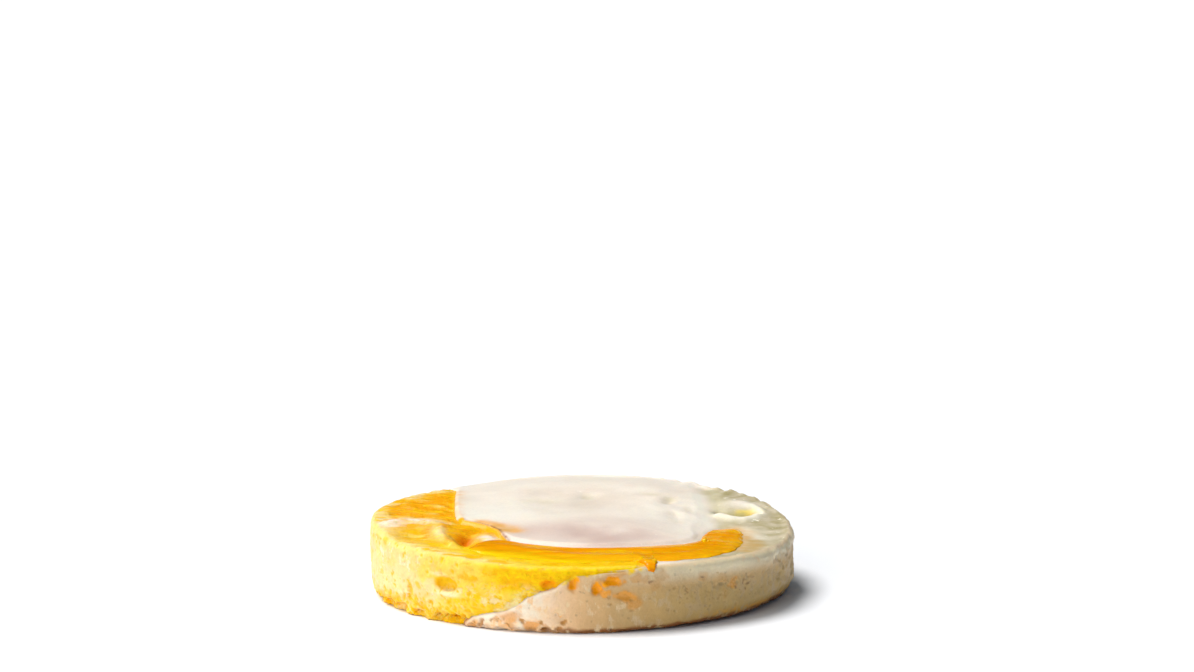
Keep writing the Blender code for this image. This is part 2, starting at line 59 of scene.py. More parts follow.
# Driving sizes of the ring-set disc, the same as those of the solids
RIM_RADIUS = 0.0390
RIM_ROUNDING = 0.0013
BASE_ROUNDING = 0.0009
CENTRE_HEIGHT = 0.0124
CENTRE_SHARE = 0.15
WALL_DRAFT = 0.0004
WALL_DRAFT_TOP = 0.0095
RIM_WAVES = ((0.00012, 3, 0.7), (0.00010, 5, -1.1), (0.00006, 9, 0.0))
WALL_WAVES = ((0.00010, 7, 600.0), (0.00007, 15, -900.0))
BASE_FADE = 0.0060

# Height of the rim round the disc: (angle, height)
RIM_HEIGHTS = (
    (0, 0.0114), (35, 0.0133), (62, 0.0139), (95, 0.0140), (125, 0.0134), (155, 0.0136), (190, 0.0135),
    (218, 0.0126), (255, 0.0119), (305, 0.0118), (340, 0.0112),
)

# The cap of smooth white: its plan outline in millimetres, its edge step and its dome
CAP_OUTLINE = (
    (-24.0, 30.0), (-24.1, 19.0), (-23.9, 11.0), (-23.4, 2.0), (-22.2, -3.6), (-19.4, -5.4), (-17.5, -7.2),
    (-16.0, -10.0), (-14.9, -13.2), (-13.2, -16.4), (-9.8, -19.0), (-4.2, -21.3), (1.0, -21.9),
    (6.0, -21.6), (10.5, -20.6), (15.0, -19.1), (18.5, -16.8), (20.2, -14.6), (20.8, -12.0), (21.3, -9.0),
    (22.1, -6.1), (23.6, -3.0), (25.0, 1.0), (25.0, 11.0), (24.4, 20.0), (24.0, 30.0), (20.0, 42.0),
    (-20.0, 42.0),
)
CAP_STEP = 0.00055
CAP_STEP_WIDTH = 0.0012
CAP_STEP_OUTSIDE = 0.35
CAP_SLOPE_WIDTH = 0.0085
CAP_SLOPE_SIDE = (0.0170, 0.0230)
CAP_SLOPE_FRONT = (-0.0120, -0.0040)
CAP_DOME = 0.0009
CAP_DOME_REACH = 0.0140
CAP_FADE_START = 0.0240
CAP_FADE = 0.75

# Where the yolk's face meets the wall, as (height, angle), and its inner edge in plan, in millimetres
YOLK_BACK_EDGE = ((-0.0020, 146), (0.0040, 140), (0.0090, 130), (0.0200, 126))
YOLK_WALL_EDGE = (
    (-0.0020, 236), (0.0007, 237), (0.0022, 240), (0.0030, 244), (0.0038, 249), (0.0050, 253),
    (0.0064, 255.5), (0.0075, 259), (0.0084, 263), (0.0097, 265.5), (0.0106, 268), (0.0111, 276),
    (0.0114, 284), (0.0118, 289), (0.0200, 290),
)
YOLK_INNER_TOP = (
    (11.6, -33.0), (9.0, -30.0), (4.0, -28.6), (-2.0, -28.4), (-8.0, -26.2), (-12.3, -22.0), (-14.3, -17.8),
    (-15.5, -14.2), (-16.3, -10.6), (-17.8, -7.7), (-19.8, -5.8), (-22.5, -4.0), (-23.7, 2.0),
    (-24.1, 11.0), (-24.3, 19.0), (-24.3, 26.0),
)
YOLK_INNER_BASE = (
    (-20.3, -30.0), (-19.2, -22.0), (-19.0, -13.0), (-20.4, -3.0), (-23.2, 7.0), (-26.2, 16.0),
)
YOLK_SHELF_LOW = 0.0055
YOLK_SHELF_HIGH = 0.0090
BLOCK_RADIUS = 0.0450
INNER_EDGE_RADIUS = 0.0385
OUTER_POINTS = 60
INNER_POINTS = 70
TOP_EDGE_HEIGHT = 0.0130

# The band of runny yolk: its edges along the cap and the rim, in plan, in millimetres
BAND_INNER = (
    (-20.0, -23.9), (-18.9, -20.3), (-16.6, -17.6), (-13.4, -17.6), (-10.0, -19.8), (-4.4, -22.1),
    (0.8, -22.7), (5.8, -22.5), (10.7, -21.4), (15.2, -20.0), (18.9, -17.7), (21.0, -15.0), (21.7, -12.1),
    (22.2, -9.2), (23.1, -6.4), (24.5, -3.7), (26.3, -2.0), (28.1, -2.2),
)
BAND_OUTER = (
    (-20.2, -24.7), (-18.2, -27.9), (-15.2, -30.3), (-12.2, -31.4), (-8.8, -32.4), (-4.1, -34.5),
    (0.4, -35.2), (5.3, -33.9), (9.8, -32.9), (14.7, -33.3), (18.7, -31.7), (22.4, -29.5), (25.2, -25.9),
    (27.1, -22.5), (28.5, -17.8), (29.1, -12.2), (29.4, -7.6), (29.0, -3.6),
)
BAND_DEPTH = 0.0011
BAND_MENISCUS = 0.00035
BAND_START_TAPER = 0.08
BAND_END_TAPER = 0.94
BAND_TIP = 0.15
DRIP_PLACE = 0.482
DRIP_HALF_WIDTH = 0.0185
DRIP_REACH = 0.0050
DRIP_BULGE = 0.0004
DRIP_SHOULDER = 0.30
DRIP_BULGE_START = 0.60

# Wall hollows: (angle, height, width, tall, depth) in degrees and millimetres
WALL_HOLLOWS = (
    (231.5, 7.1, 4.0, 2.1, 1.2),
    (261.4, 8.5, 1.8, 1.3, 0.7),
    (267.7, 9.1, 1.2, 2.0, 0.9),
    (273.9, 8.1, 1.6, 1.6, 0.9),
    (277.8, 9.4, 2.2, 1.2, 0.8),
    (281.4, 6.6, 2.4, 1.1, 0.4),
    (203.5, 11.0, 1.4, 1.4, 0.4),
    (217.5, 4.0, 1.2, 3.0, 0.5),
    (143.0, 8.0, 3.0, 1.8, 0.7),
    (52.0, 7.0, 2.2, 1.5, 0.5),
)
HOLLOW_SHARE = 0.62
HOLLOW_SQUARENESS = 1.6
# Notches in the bottom edge, and its bulge at the left: (angle, half width, height, depth)
BASE_NOTCHES = (
    (196.0, 14.0, 3.5, -0.3),
    (193.0, 4.0, 1.2, 0.6),
    (204.0, 2.0, 1.2, 0.6),
    (211.0, 2.0, 1.2, 0.6),
    (221.0, 1.8, 1.4, 0.8),
    (228.0, 1.3, 1.0, 0.6),
    (234.5, 1.8, 1.3, 0.8),
    (249.0, 1.6, 1.0, 0.5),
    (256.7, 1.4, 1.6, 0.8),
    (261.0, 1.0, 1.1, 0.6),
    (166.0, 2.6, 1.2, 0.6),
    (148.0, 1.8, 1.2, 0.7),
    (332.0, 26.0, 2.2, 1.2),
)
NOTCH_FULL = 0.4
NOTCH_GONE = 1.5

# Streaks in the yolk at the left: (points, half width, height), in millimetres
YOLK_STREAKS = (
    (((-34.6, 8.9), (-31.1, 7.6), (-27.7, 9.8), (-25.0, 8.0)), 0.8, -0.4),
    (((-34.8, 1.9), (-29.7, 1.4), (-25.0, 2.4)), 0.7, -0.4),
    (((-33.1, 15.8), (-30.2, 14.3), (-25.5, 13.8)), 0.8, -0.3),
)
# Relief of the top: ridges and grooves along plan lines, as (points, half width, height), in millimetres
TOP_LINES = (
    # the fold of white across the left
    (((-35.0, -6.8), (-33.0, -5.6), (-30.0, -5.0), (-27.2, -6.2)), 1.5, 0.6),
    *YOLK_STREAKS,
    # the lip that curls round the pit
    (((-25.4, -7.5), (-25.9, -10.7), (-25.3, -14.4), (-24.1, -18.2), (-23.0, -22.4)), 1.1, 0.7),
    # the trough that leaves the pit towards the cap
    (((-20.6, -14.5), (-19.8, -10.5), (-18.4, -8.4)), 1.5, -0.6),
    # the valley down the right side of the cap
    (((24.0, 27.0), (24.8, 17.0), (25.1, 8.0), (25.6, 0.0)), 2.6, -0.5),
    # the slit in the fold at the right, and the lip that runs round it
    (((25.6, 9.6), (27.0, 9.0), (30.0, 8.6), (32.3, 8.8)), 0.9, -1.4),
    (
        ((25.8, 6.2), (27.7, 4.8), (30.0, 4.6), (32.0, 5.8), (33.1, 8.4), (33.1, 10.6), (32.1, 12.8)),
        1.3,
        0.8,
    ),
)
# Round dents and humps: (x, y, radius in x, radius in y, depth)
TOP_DENTS = (
    (-30.1, -14.6, 3.4, 4.5, 0.7),
    (-21.2, -17.6, 1.9, 3.4, 2.1),
    (1.2, 16.6, 2.2, 2.6, 0.4),
    (16.2, 13.0, 1.2, 2.0, 0.4),
    (17.2, 1.5, 1.1, 2.8, 0.3),
    (33.5, -8.0, 3.5, 6.0, 0.3),
    (28.7, 14.6, 4.0, 3.8, -0.8),
)
CRIMP_FROM = 22
CRIMP_TO = 60
CRIMP_HEIGHT = 0.00018
CRIMP_PLEATS = ((47, 0.8, 0.0), (71, 0.7, 1.0))
CRIMP_FADE_IN = (-12, 8)
CRIMP_FADE_OUT = (-8, 15)
CRIMP_INNER = 0.0300

# Rows of the skin's mesh: under the cap, over the rest of the top, the rim, the wall, the bottom edge, the
# base
CAP_ROW_RADIUS = 0.0180
ROW_COUNTS = (22, 62, 8, 46, 5, 7)
WELD_DISTANCE = 1e-6


def smoothstep(low, high, value):
    """0 below low, 1 above high, and an S-curve between them."""
    t = np.clip((value - low) / (high - low), 0.0, 1.0)
    return t * t * (3.0 - 2.0 * t)


def hill(distance, half_width):
    """A smooth hill of height 1 at distance 0."""
    return np.exp(-((distance / half_width) ** 2))


def wrap(angle):
    """The angle as -180 to 180 degrees."""
    return np.mod(angle + 180.0, 360.0) - 180.0


def around(angle, at):
    """Distance along the wall from an angle, in metres."""
    return np.radians(wrap(angle - at)) * RIM_RADIUS


def cubic(t, start, end, slope_start, slope_end):
    """A smooth cubic that goes from start to end as t goes from 0 to 1, with these slopes at its ends."""
    return (
        (2 * t**3 - 3 * t**2 + 1) * start
        + (t**3 - 2 * t**2 + t) * slope_start
        + (3 * t**2 - 2 * t**3) * end
        + (t**3 - t**2) * slope_end
    )


def round_curve(points, angle):
    """Values at any angle, from (angle, value) points on a full circle, joined by a smooth cubic."""
    known, value = np.array(points, float).T
    after = np.roll(known, -1)
    after[-1] += 360.0
    before = np.roll(known, 1)
    before[0] -= 360.0
    slope = (np.roll(value, -1) - np.roll(value, 1)) / (after - before)
    angle = np.mod(angle - known[0], 360.0) + known[0]
    i = np.searchsorted(known, angle, side="right") - 1
    j = (i + 1) % len(known)
    span = after[i] - known[i]
    return cubic((angle - known[i]) / span, value[i], value[j], span * slope[i], span * slope[j])


def open_curve(points, share):
    """Points at shares 0 to 1 of a smooth curve through the given points."""
    known = np.array(points, float)
    slope = np.gradient(known, axis=0)
    place = np.clip(share, 0.0, 1.0) * (len(known) - 1)
    i = np.minimum(place.astype(int), len(known) - 2)
    return cubic((place - i)[:, None], known[i], known[i + 1], slope[i], slope[i + 1])


def line_distance(x, y, points):
    """Distance from each (x, y) to a line through the points, in the same unit."""
    nearest = np.full(np.shape(x), np.inf)
    for (x0, y0), (x1, y1) in zip(points[:-1], points[1:]):
        dx, dy = x1 - x0, y1 - y0
        along = np.clip(((x - x0) * dx + (y - y0) * dy) / (dx * dx + dy * dy), 0.0, 1.0)
        nearest = np.minimum(nearest, np.hypot(x - x0 - along * dx, y - y0 - along * dy))
    return nearest


def inside_outline(x, y, points):
    """True where (x, y) lies inside the closed outline."""
    inside = np.zeros(np.shape(x), bool)
    for (x0, y0), (x1, y1) in zip(points, points[1:] + points[:1]):
        crosses = (y0 > y) != (y1 > y)
        rise = y1 - y0 if y1 != y0 else 1e-12
        inside ^= crosses & (x < (x1 - x0) * (y - y0) / rise + x0)
    return inside


def outline_depth(x, y, points):
    """How far inside a closed plan outline in millimetres a point lies, in metres. Outside is negative."""
    distance = line_distance(x / MM, y / MM, points + points[:1])
    return np.where(inside_outline(x / MM, y / MM, points), distance, -distance) * MM


def cloud(points, waves, shift, octaves=3):
    """Soft noise of about -1 to 1 at each point, with so many waves to the metre."""
    move = Vector((shift, 1.7 * shift, -2.3 * shift))
    return np.array([noise.fractal(Vector(p) * waves + move, 1.0, 2.0, octaves) for p in points])


def rim_radius(angle):
    """Radius of the wall: nearly round, with the slow waves of an egg ring that was not quite full."""
    a = np.radians(angle)
    return RIM_RADIUS + sum(size * np.sin(waves * a + phase) for size, waves, phase in RIM_WAVES)


def crimp(angle):
    """Small pleats along the rim at the back right."""
    angle = wrap(angle)
    a = np.radians(angle)
    fade_in = smoothstep(CRIMP_FROM + CRIMP_FADE_IN[0], CRIMP_FROM + CRIMP_FADE_IN[1], angle)
    fade_out = smoothstep(CRIMP_TO + CRIMP_FADE_OUT[0], CRIMP_TO + CRIMP_FADE_OUT[1], angle)
    pleats = sum(share * np.sin(waves * a + phase) for waves, share, phase in CRIMP_PLEATS)
    return fade_in * (1 - fade_out) * CRIMP_HEIGHT * pleats


def top_height(x, y):
    """Height of the top surface, before the rounding of the rim."""
    radius = np.hypot(x, y)
    angle = np.degrees(np.arctan2(y, x))
    share = smoothstep(CENTRE_SHARE, 1.0, radius / RIM_RADIUS)
    height = CENTRE_HEIGHT + (round_curve(RIM_HEIGHTS, angle) - CENTRE_HEIGHT) * share
    height = height + crimp(angle) * smoothstep(CRIMP_INNER, RIM_RADIUS, radius)
    depth = outline_depth(x, y, CAP_OUTLINE)
    slope = smoothstep(*CAP_SLOPE_SIDE, x) * smoothstep(*CAP_SLOPE_FRONT, y)
    step_width = CAP_STEP_WIDTH + (CAP_SLOPE_WIDTH - CAP_STEP_WIDTH) * slope
    cap = CAP_STEP * smoothstep(-CAP_STEP_OUTSIDE, 1 - CAP_STEP_OUTSIDE, depth / step_width)
    cap = cap + CAP_DOME * smoothstep(0.0, CAP_DOME_REACH, depth)
    height = height + cap * (1 - CAP_FADE * smoothstep(CAP_FADE_START, RIM_RADIUS, radius))
    for points, half_width, rise in TOP_LINES:
        height = height + rise * MM * hill(line_distance(x / MM, y / MM, points), half_width)
    for dent_x, dent_y, radius_x, radius_y, dip in TOP_DENTS:
        away = np.hypot((x / MM - dent_x) / radius_x, (y / MM - dent_y) / radius_y)
        height = height - dip * MM * hill(away, 1.0)
    return height


def wall_spot(angle, height, at, level, width, tall):
    """1 at the middle of a spot on the wall and 0 away from it, with its size in millimetres."""
    place = np.hypot(around(angle, at) / (width * MM), (height / MM - level) / tall) / HOLLOW_SHARE
    return hill(place**HOLLOW_SQUARENESS, 1.0)


def wall_shift(angle, height):
    """How far the wall stands out (or in) from the rim's radius at a height above the table."""
    a = np.radians(angle)
    shift = -WALL_DRAFT * (1 - smoothstep(0.0, WALL_DRAFT_TOP, height))
    for size, waves, drift in WALL_WAVES:
        shift = shift + size * np.sin(waves * a + drift * height)
    for at, level, width, tall, dip in WALL_HOLLOWS:
        shift = shift - dip * MM * wall_spot(angle, height, at, level, width, tall)
    for at, half_width, tall, dip in BASE_NOTCHES:
        fade = smoothstep(NOTCH_FULL * tall, NOTCH_GONE * tall, height / MM)
        shift = shift - dip * MM * hill(wrap(angle - at), half_width) * (1 - fade)
    return shift


def rim_edge(angle):
    """Where the flat of the top ends and the rim's rounding starts: its radius and its height."""
    a = np.radians(angle)
    flat = rim_radius(angle) - RIM_ROUNDING
    return flat, top_height(flat * np.cos(a), flat * np.sin(a))


def skin_point(angle, reach):
    """The point at a distance from the top's centre, measured over the skin: across the top, round the rim,
    down the wall, round the bottom edge and back in under the base."""
    a = np.radians(angle)
    flat, edge = rim_edge(angle)
    fall = edge - RIM_ROUNDING - BASE_ROUNDING
    past_rim = reach - flat - RIM_ROUNDING * math.pi / 2
    turn = np.clip((reach - flat) / RIM_ROUNDING, 0.0, math.pi / 2)
    down = np.clip(past_rim, 0.0, fall)
    turn_in = np.clip((past_rim - fall) / BASE_ROUNDING, 0.0, math.pi / 2)
    inward = np.maximum(past_rim - fall - BASE_ROUNDING * math.pi / 2, 0.0)
    across = np.minimum(reach, flat)
    height = top_height(across * np.cos(a), across * np.sin(a))
    height = height - RIM_ROUNDING * (1 - np.cos(turn)) - down - BASE_ROUNDING * np.sin(turn_in)
    wall = smoothstep(0.0, 1.0, turn / (math.pi / 2)) * (1 - smoothstep(0.0, BASE_FADE, inward))
    radius = across + RIM_ROUNDING * np.sin(turn) - BASE_ROUNDING * (1 - np.cos(turn_in)) - inward
    radius = radius + wall * wall_shift(angle, height)
    height = np.where(inward > 0, 0.0, np.maximum(height, 0.0))
    return np.stack([radius * np.cos(a), radius * np.sin(a), height], axis=-1)


def skin_reach(angle, row):
    """The distance over the skin of a row of the mesh, where the whole numbers of row are the section ends:
    0 the top's centre, 1 and 2 the rounding of the rim, 3 and 4 the bottom edge, 5 the base's centre."""
    flat, edge = rim_edge(angle)
    rounding = np.full_like(flat, math.pi / 2)
    wall = edge - RIM_ROUNDING - BASE_ROUNDING
    base = rim_radius(angle) - BASE_ROUNDING
    lengths = np.stack([flat, rounding * RIM_ROUNDING, wall, rounding * BASE_ROUNDING, base])
    section = np.clip(row[None, :] - np.arange(5)[:, None], 0.0, 1.0)
    return (lengths * section).sum(axis=0)


def vectors(mesh, kind):
    """The mesh's vertex positions ("co") or normals ("normal") as rows of x, y, z."""
    flat = np.empty(len(mesh.vertices) * 3)
    mesh.vertices.foreach_get(kind, flat)
    return flat.reshape(-1, 3)


def new_object(name, mesh_data):
    """An object that holds the finished bmesh."""
    mesh = bpy.data.meshes.new(name)
    mesh_data.to_mesh(mesh)
    mesh_data.free()
    obj = bpy.data.objects.new(name, mesh)
    bpy.context.scene.collection.objects.link(obj)
    return obj


def face_outwards(mesh_data):
    """Turns the faces of a closed mesh outwards: its volume is positive only when they are."""
    bmesh.ops.recalc_face_normals(mesh_data, faces=mesh_data.faces)
    if mesh_data.calc_volume(signed=True) < 0:
        bmesh.ops.reverse_faces(mesh_data, faces=mesh_data.faces)


def grow(mesh_data, distance):
    """Moves every vertex of a closed mesh out by the distance."""
    mesh_data.normal_update()
    for vertex, normal in [(v, v.normal.copy()) for v in mesh_data.verts]:
        vertex.co += normal * distance


def section_rows():
    """Row values down the whole profile of the skin."""
    cap_share = CAP_ROW_RADIUS / RIM_RADIUS
    starts = (0.0, cap_share, 1.0, 2.0, 3.0, 4.0)
    ends = (cap_share, 1.0, 2.0, 3.0, 4.0, 5.0)
    rows = [np.linspace(a, b, n, endpoint=False) for a, b, n in zip(starts, ends, ROW_COUNTS)]
    return list(np.concatenate(rows)) + [5.0]


def rolled_skin(name, columns):
    """The whole egg as one skin: a grid rolled round it, sewn up its seam and drawn in at both middles."""
    rows = np.array(section_rows())
    strips = len(rows) - 1
    bm = bmesh.new()
    bmesh.ops.create_grid(bm, x_segments=columns, y_segments=strips, size=0.5)
    flat = np.array([v.co for v in bm.verts])
    angles = 360.0 * (flat[:, 0] + 0.5)
    row = rows[np.rint((flat[:, 1] + 0.5) * strips).astype(int)]
    for vertex, place in zip(bm.verts, skin_point(angles, skin_reach(angles, row))):
        vertex.co = place
    edge = [v for v in bm.verts if v.is_boundary]
    bmesh.ops.remove_doubles(bm, verts=edge, dist=WELD_DISTANCE)
    face_outwards(bm)
    return new_object(name, bm)


# How stains sway: waves to the metre, shifts, degrees round the wall and millimetres up it
SWAY_WAVES = 520.0
SWAY_SHIFTS = (41.0, 43.0)
SWAY_ANGLE = 1.3
SWAY_HEIGHT = 0.6


class Skin:
    """Where each vertex of a skin lies: in plan, round the wall and up it, and how far it is from the yolk's
    edge, from the rim and from the cap's outline. x, y, z and radius are in metres, other lengths in
    millimetres."""

    def __init__(self, points):
        self.points = points
        self.x, self.y, self.z = points.T
        self.u, self.v, self.rise = points.T / MM
        self.angle = np.mod(np.degrees(np.arctan2(self.y, self.x)), 360.0)
        self.radius = np.hypot(self.x, self.y)
        rim = rim_radius(self.angle)
        low = self.z < rim_edge(self.angle)[1] - 0.5 * RIM_ROUNDING
        over = smoothstep(-0.9 * RIM_ROUNDING, 0.0, self.radius - rim)
        self.wall = np.where(low & (self.radius > rim - 3 * MM), 1.0, over)
        self.top = 1 - self.wall
        self.base = 1 - smoothstep(0.0, 0.4 * MM, self.z)
        self.from_edge = self.edge_distance()
        self.from_rim = (rim - self.radius) / MM
        self.in_cap = outline_depth(self.x, self.y, CAP_OUTLINE) / MM
        self.sway = [self.cloud(SWAY_WAVES, shift) for shift in SWAY_SHIFTS]

    def edge_distance(self):
        """Distance over the surface from the line where white and yolk meet."""
        back = np.interp(TOP_EDGE_HEIGHT, *zip(*YOLK_BACK_EDGE))
        front = YOLK_WALL_EDGE[-1][1]
        ends = ((BLOCK_RADIUS, front), (INNER_EDGE_RADIUS, front), (BLOCK_RADIUS, back))
        start, turn, last = (
            (radius / MM * math.cos(math.radians(angle)), radius / MM * math.sin(math.radians(angle)))
            for radius, angle in ends
        )
        on_top = line_distance(self.u, self.v, (start, turn, *YOLK_INNER_TOP, last))
        arc = np.radians(self.angle) * RIM_RADIUS / MM
        on_wall = np.full(len(self.x), np.inf)
        for edge in (YOLK_WALL_EDGE, YOLK_BACK_EDGE):
            line = [(math.radians(angle) * RIM_RADIUS / MM, height / MM) for height, angle in edge]
            on_wall = np.minimum(on_wall, line_distance(arc, self.rise, line))
        return on_top * self.top + on_wall * self.wall

    def cloud(self, waves, shift, octaves=3, stretch=(1.0, 1.0, 1.0)):
        """Soft noise at each vertex, drawn out along an axis where its stretch is below 1."""
        return cloud(self.points * stretch, waves, shift, octaves)

    def stroke(self, points, half_width):
        """1 along a line on the top."""
        return hill(line_distance(self.u, self.v, points), half_width) * self.top

    def blob(self, x, y, radius_x, radius_y):
        """1 at the middle of an oval on the top."""
        return hill(np.hypot((self.u - x) / radius_x, (self.v - y) / radius_y), 1.0) * self.top

    def shape(self, values):
        """A stroke from (points, half width), or a blob from (x, y, radius in x, radius in y)."""
        return self.stroke(*values) if len(values) == 2 else self.blob(*values)

    def spot(self, at, level, width, tall):
        """1 at the middle of a spot on the wall."""
        return wall_spot(self.angle, self.z, at, level, width, tall) * self.wall

    def stain(self, at, level, width, tall):
        """1 at the middle of a spot on the wall with an uneven edge."""
        angle = self.angle + SWAY_ANGLE * self.sway[0]
        height = self.z + SWAY_HEIGHT * MM * self.sway[1]
        return wall_spot(angle, height, at, level, width, tall) * self.wall

    def sector(self, start, end, soft):
        """1 between two angles, counted from the first, with soft ends."""
        along = wrap(self.angle - start)
        along = np.where(along < -90, along + 360.0, along)
        span = end - start
        return smoothstep(-soft, soft, along) * (1 - smoothstep(span - soft, span + soft, along))


# Lines of the top: the lip that curls round the pit, the crease where the cap meets the yolk's tongue, and
# the valley
PIT_LIP = ((-25.5, -6.6), (-25.8, -10.7), (-25.2, -14.4), (-24.1, -18.2))
CREASE = (
    (-24.4, -2.6),
    (-22.3, -3.1),
    (-19.4, -4.7),
    (-17.1, -6.8),
    (-15.5, -10.0),
    (-14.6, -13.6),
    (-13.2, -16.8),
)
VALLEY = ((24.0, 24.0), (24.8, 17.0), (25.1, 8.0), (25.6, 0.0))
# Finer relief of the top: (stroke or blob, height), in millimetres
WHITE_RELIEF = (
    ((((29.0, 8.0), (32.9, 8.4)), 1.1), -0.40),
    ((33.0, 14.0, 2.6, 2.6), -0.30),
    ((((29.4, 4.8), (31.6, 5.4)), 1.4), -0.26),
    ((VALLEY, 2.6), 0.28),
)
YOLK_RELIEF = (
    ((PIT_LIP, 1.1), -0.15),
    ((-21.2, -17.6, 1.9, 3.4), 0.80),
    ((-20.9, -17.2, 1.1, 2.2), -0.70),
)
# Dimples of the cap: (x, y, radius in x, radius in y, depth), in millimetres
CAP_DIMPLES = (
    (16.5, 14.7, 1.3, 1.8, 0.22),
    (15.9, 11.4, 1.0, 1.2, 0.15),
    (17.0, 3.7, 1.2, 1.6, 0.09),
    (17.5, -2.4, 1.3, 1.6, 0.06),
    (19.8, 7.4, 1.0, 2.6, 0.08),
    (13.0, 17.5, 2.2, 1.4, 0.12),
    (1.2, 16.6, 1.6, 2.2, 0.12),
    (-7.0, 12.0, 4.0, 2.6, 0.12),
)

# Pores of the two walls: (first angle, last angle, lowest, highest, number, smallest, largest size, depth)
YOLK_PORES = (
    (196, 240, 0.4, 3.4, 84, 0.5, 1.5, 0.60),
    (184, 200, 0.4, 3.4, 16, 0.5, 1.2, 0.50),
    (204, 250, 2.6, 6.4, 44, 0.4, 1.0, 0.35),
    (238, 262, 3.6, 8.0, 24, 0.4, 0.8, 0.25),
    (140, 184, 0.6, 10.5, 80, 0.5, 1.4, 0.45),
    (184, 236, 10.6, 12.6, 22, 0.5, 1.0, 0.35),
    (184, 236, 6.5, 10.2, 9, 0.4, 0.8, 0.25),
)
WHITE_PORES = (
    (238, 266, 0.5, 2.2, 12, 0.6, 1.3, 0.45),
    (238, 292, 0.6, 9.0, 14, 0.4, 0.8, 0.18),
    (292, 362, 0.6, 10.0, 60, 0.35, 0.7, 0.18),
    (0, 136, 0.6, 11.0, 130, 0.4, 1.1, 0.26),
)


def scattered(pores, seed):
    """Pores at fixed random places: (angle, height, size, depth)."""
    draw = np.random.default_rng(seed)
    found = []
    for start, end, low, high, count, small, large, depth in pores:
        size = small + (large - small) * draw.random(count) ** 2
        rows = (draw.uniform(start, end, count), draw.uniform(low, high, count), size, size / large * depth)
        found += list(zip(*rows))
    return found


def pore_mask(skin, pores):
    """How deep the pores are at each point of the wall, in millimetres, how much of a pore each point is,
    and how much of a pore's raised rim."""
    depth, mask, rims = np.zeros((3, len(skin.x)))
    wall = np.flatnonzero(skin.wall > 0.05)
    angle, rise = skin.angle[wall], skin.rise[wall]
    for at, level, size, dip in pores:
        across = around(angle, at) / MM
        near = np.hypot(across, rise - level) < 1.4 * size
        turn = np.arctan2(rise[near] - level, across[near])
        uneven = 1 + 0.25 * np.sin(2 * turn + 9 * at) + 0.12 * np.sin(3 * turn + 17 * at)
        place = np.hypot(across[near], rise[near] - level) / (0.5 * size * uneven)
        chosen = wall[near]
        depth[chosen] = np.maximum(depth[chosen], dip * (1 - smoothstep(0.35, 1.25, place)))
        mask[chosen] = np.maximum(mask[chosen], 1 - smoothstep(0.75, 1.15, place))
        rims[chosen] = np.maximum(rims[chosen], hill(place - 1.6, 0.5))
    return depth * skin.wall, mask * skin.wall, rims * (1 - mask) * skin.wall


# Ragged gaps in the bottom edge: (first angle, last angle, number, and the smallest and largest half width,
# height and depth), and the seeds of their places
YOLK_GAPS = (180, 240, 54, (0.5, 1.7), (0.7, 2.5), (0.9, 2.6))
WHITE_GAPS = (240, 300, 26, (0.3, 1.0), (0.4, 0.9), (0.3, 0.8))
YOLK_GAP_SEED = 5
WHITE_GAP_SEED = 6


def gap_depth(skin, gaps, seed):
    """How deep the ragged gaps of the bottom edge are, in millimetres."""
    draw = np.random.default_rng(seed)
    start, end, count, widths, talls, dips = gaps
    depth = np.zeros(len(skin.x))
    drawn = [draw.uniform(*pair, count) for pair in ((start, end), widths, talls, dips)]
    for at, width, tall, dip in zip(*drawn):
        shape = hill(wrap(skin.angle - at), width) * (1 - smoothstep(0.3 * tall, 1.2 * tall, skin.rise))
        depth = np.maximum(depth, dip * shape)
    return depth * skin.wall


# Rough relief: (where, height in millimetres, the level from which it counts, waves to the metre, shift,
# octaves, and its stretch in x, y and z)
EVEN = (1.0, 1.0, 1.0)
WHITE_GRAIN = (
    ("top", 0.06, None, 130.0, 3.1, 2, EVEN),
    ("dimpled", 0.16, None, 330.0, 2.7, 2, (1.0, 0.6, 1.0)),
    ("right_top", 0.025, None, 300.0, 8.2, 2, (0.6, 1.0, 1.0)),
    ("wall", 0.10, None, 300.0, 5.0, 4, EVEN),
    ("wall", 0.04, None, 1200.0, 6.4, 2, (1.0, 1.0, 0.35)),
    ("right_wall", 0.34, None, 520.0, 2.4, 4, EVEN),
    ("right_middle", -0.22, 0.0, 1100.0, 4.9, 3, EVEN),
    ("foot", 0.16, None, 900.0, 9.0, 3, (1.0, 1.0, 0.2)),
)
YOLK_GRAIN = (
    ("top", 0.18, None, 640.0, 2.0, 4, (0.45, 1.0, 1.0)),
    ("top", -0.25, 0.25, 750.0, 17.0, 2, (0.8, 1.0, 1.0)),
    ("wall", 0.14, None, 330.0, 4.4, 4, EVEN),
    ("wall", -0.30, 0.12, 900.0, 2.2, 3, EVEN),
    ("foot", 0.25, None, 800.0, 9.6, 3, (1.0, 1.0, 0.5)),
)
# Thin ridges along the rim: (first and last angle, softness, distance from the rim, half width, unevenness,
# waves, shift), and their height
RIM_RIDGES = (
    (320, 372, 9, 0.9, 0.4, 1.2, 500.0, 1.6),
    (352, 470, 8, 1.3, 0.55, 1.0, 700.0, 1.1),
)
RIDGE_HEIGHT = 0.16
# The crease's groove: its distance from the yolk's edge, and its depth
CREASE_PLACE = 1.4
CREASE_DEPTH = 0.12
# The edge of the white where it meets the yolk: where it swells most, and the half widths of its swelling
# and of its fall
LIP_PLACE = 0.62
LIP_HALF_WIDTH = 0.45
DIVE_HALF_WIDTH = 0.24
# How far the foot of the wall is pulled in at the front right, and how far up
FOOT_PULL = 0.5
FOOT_HEIGHT = 1.6


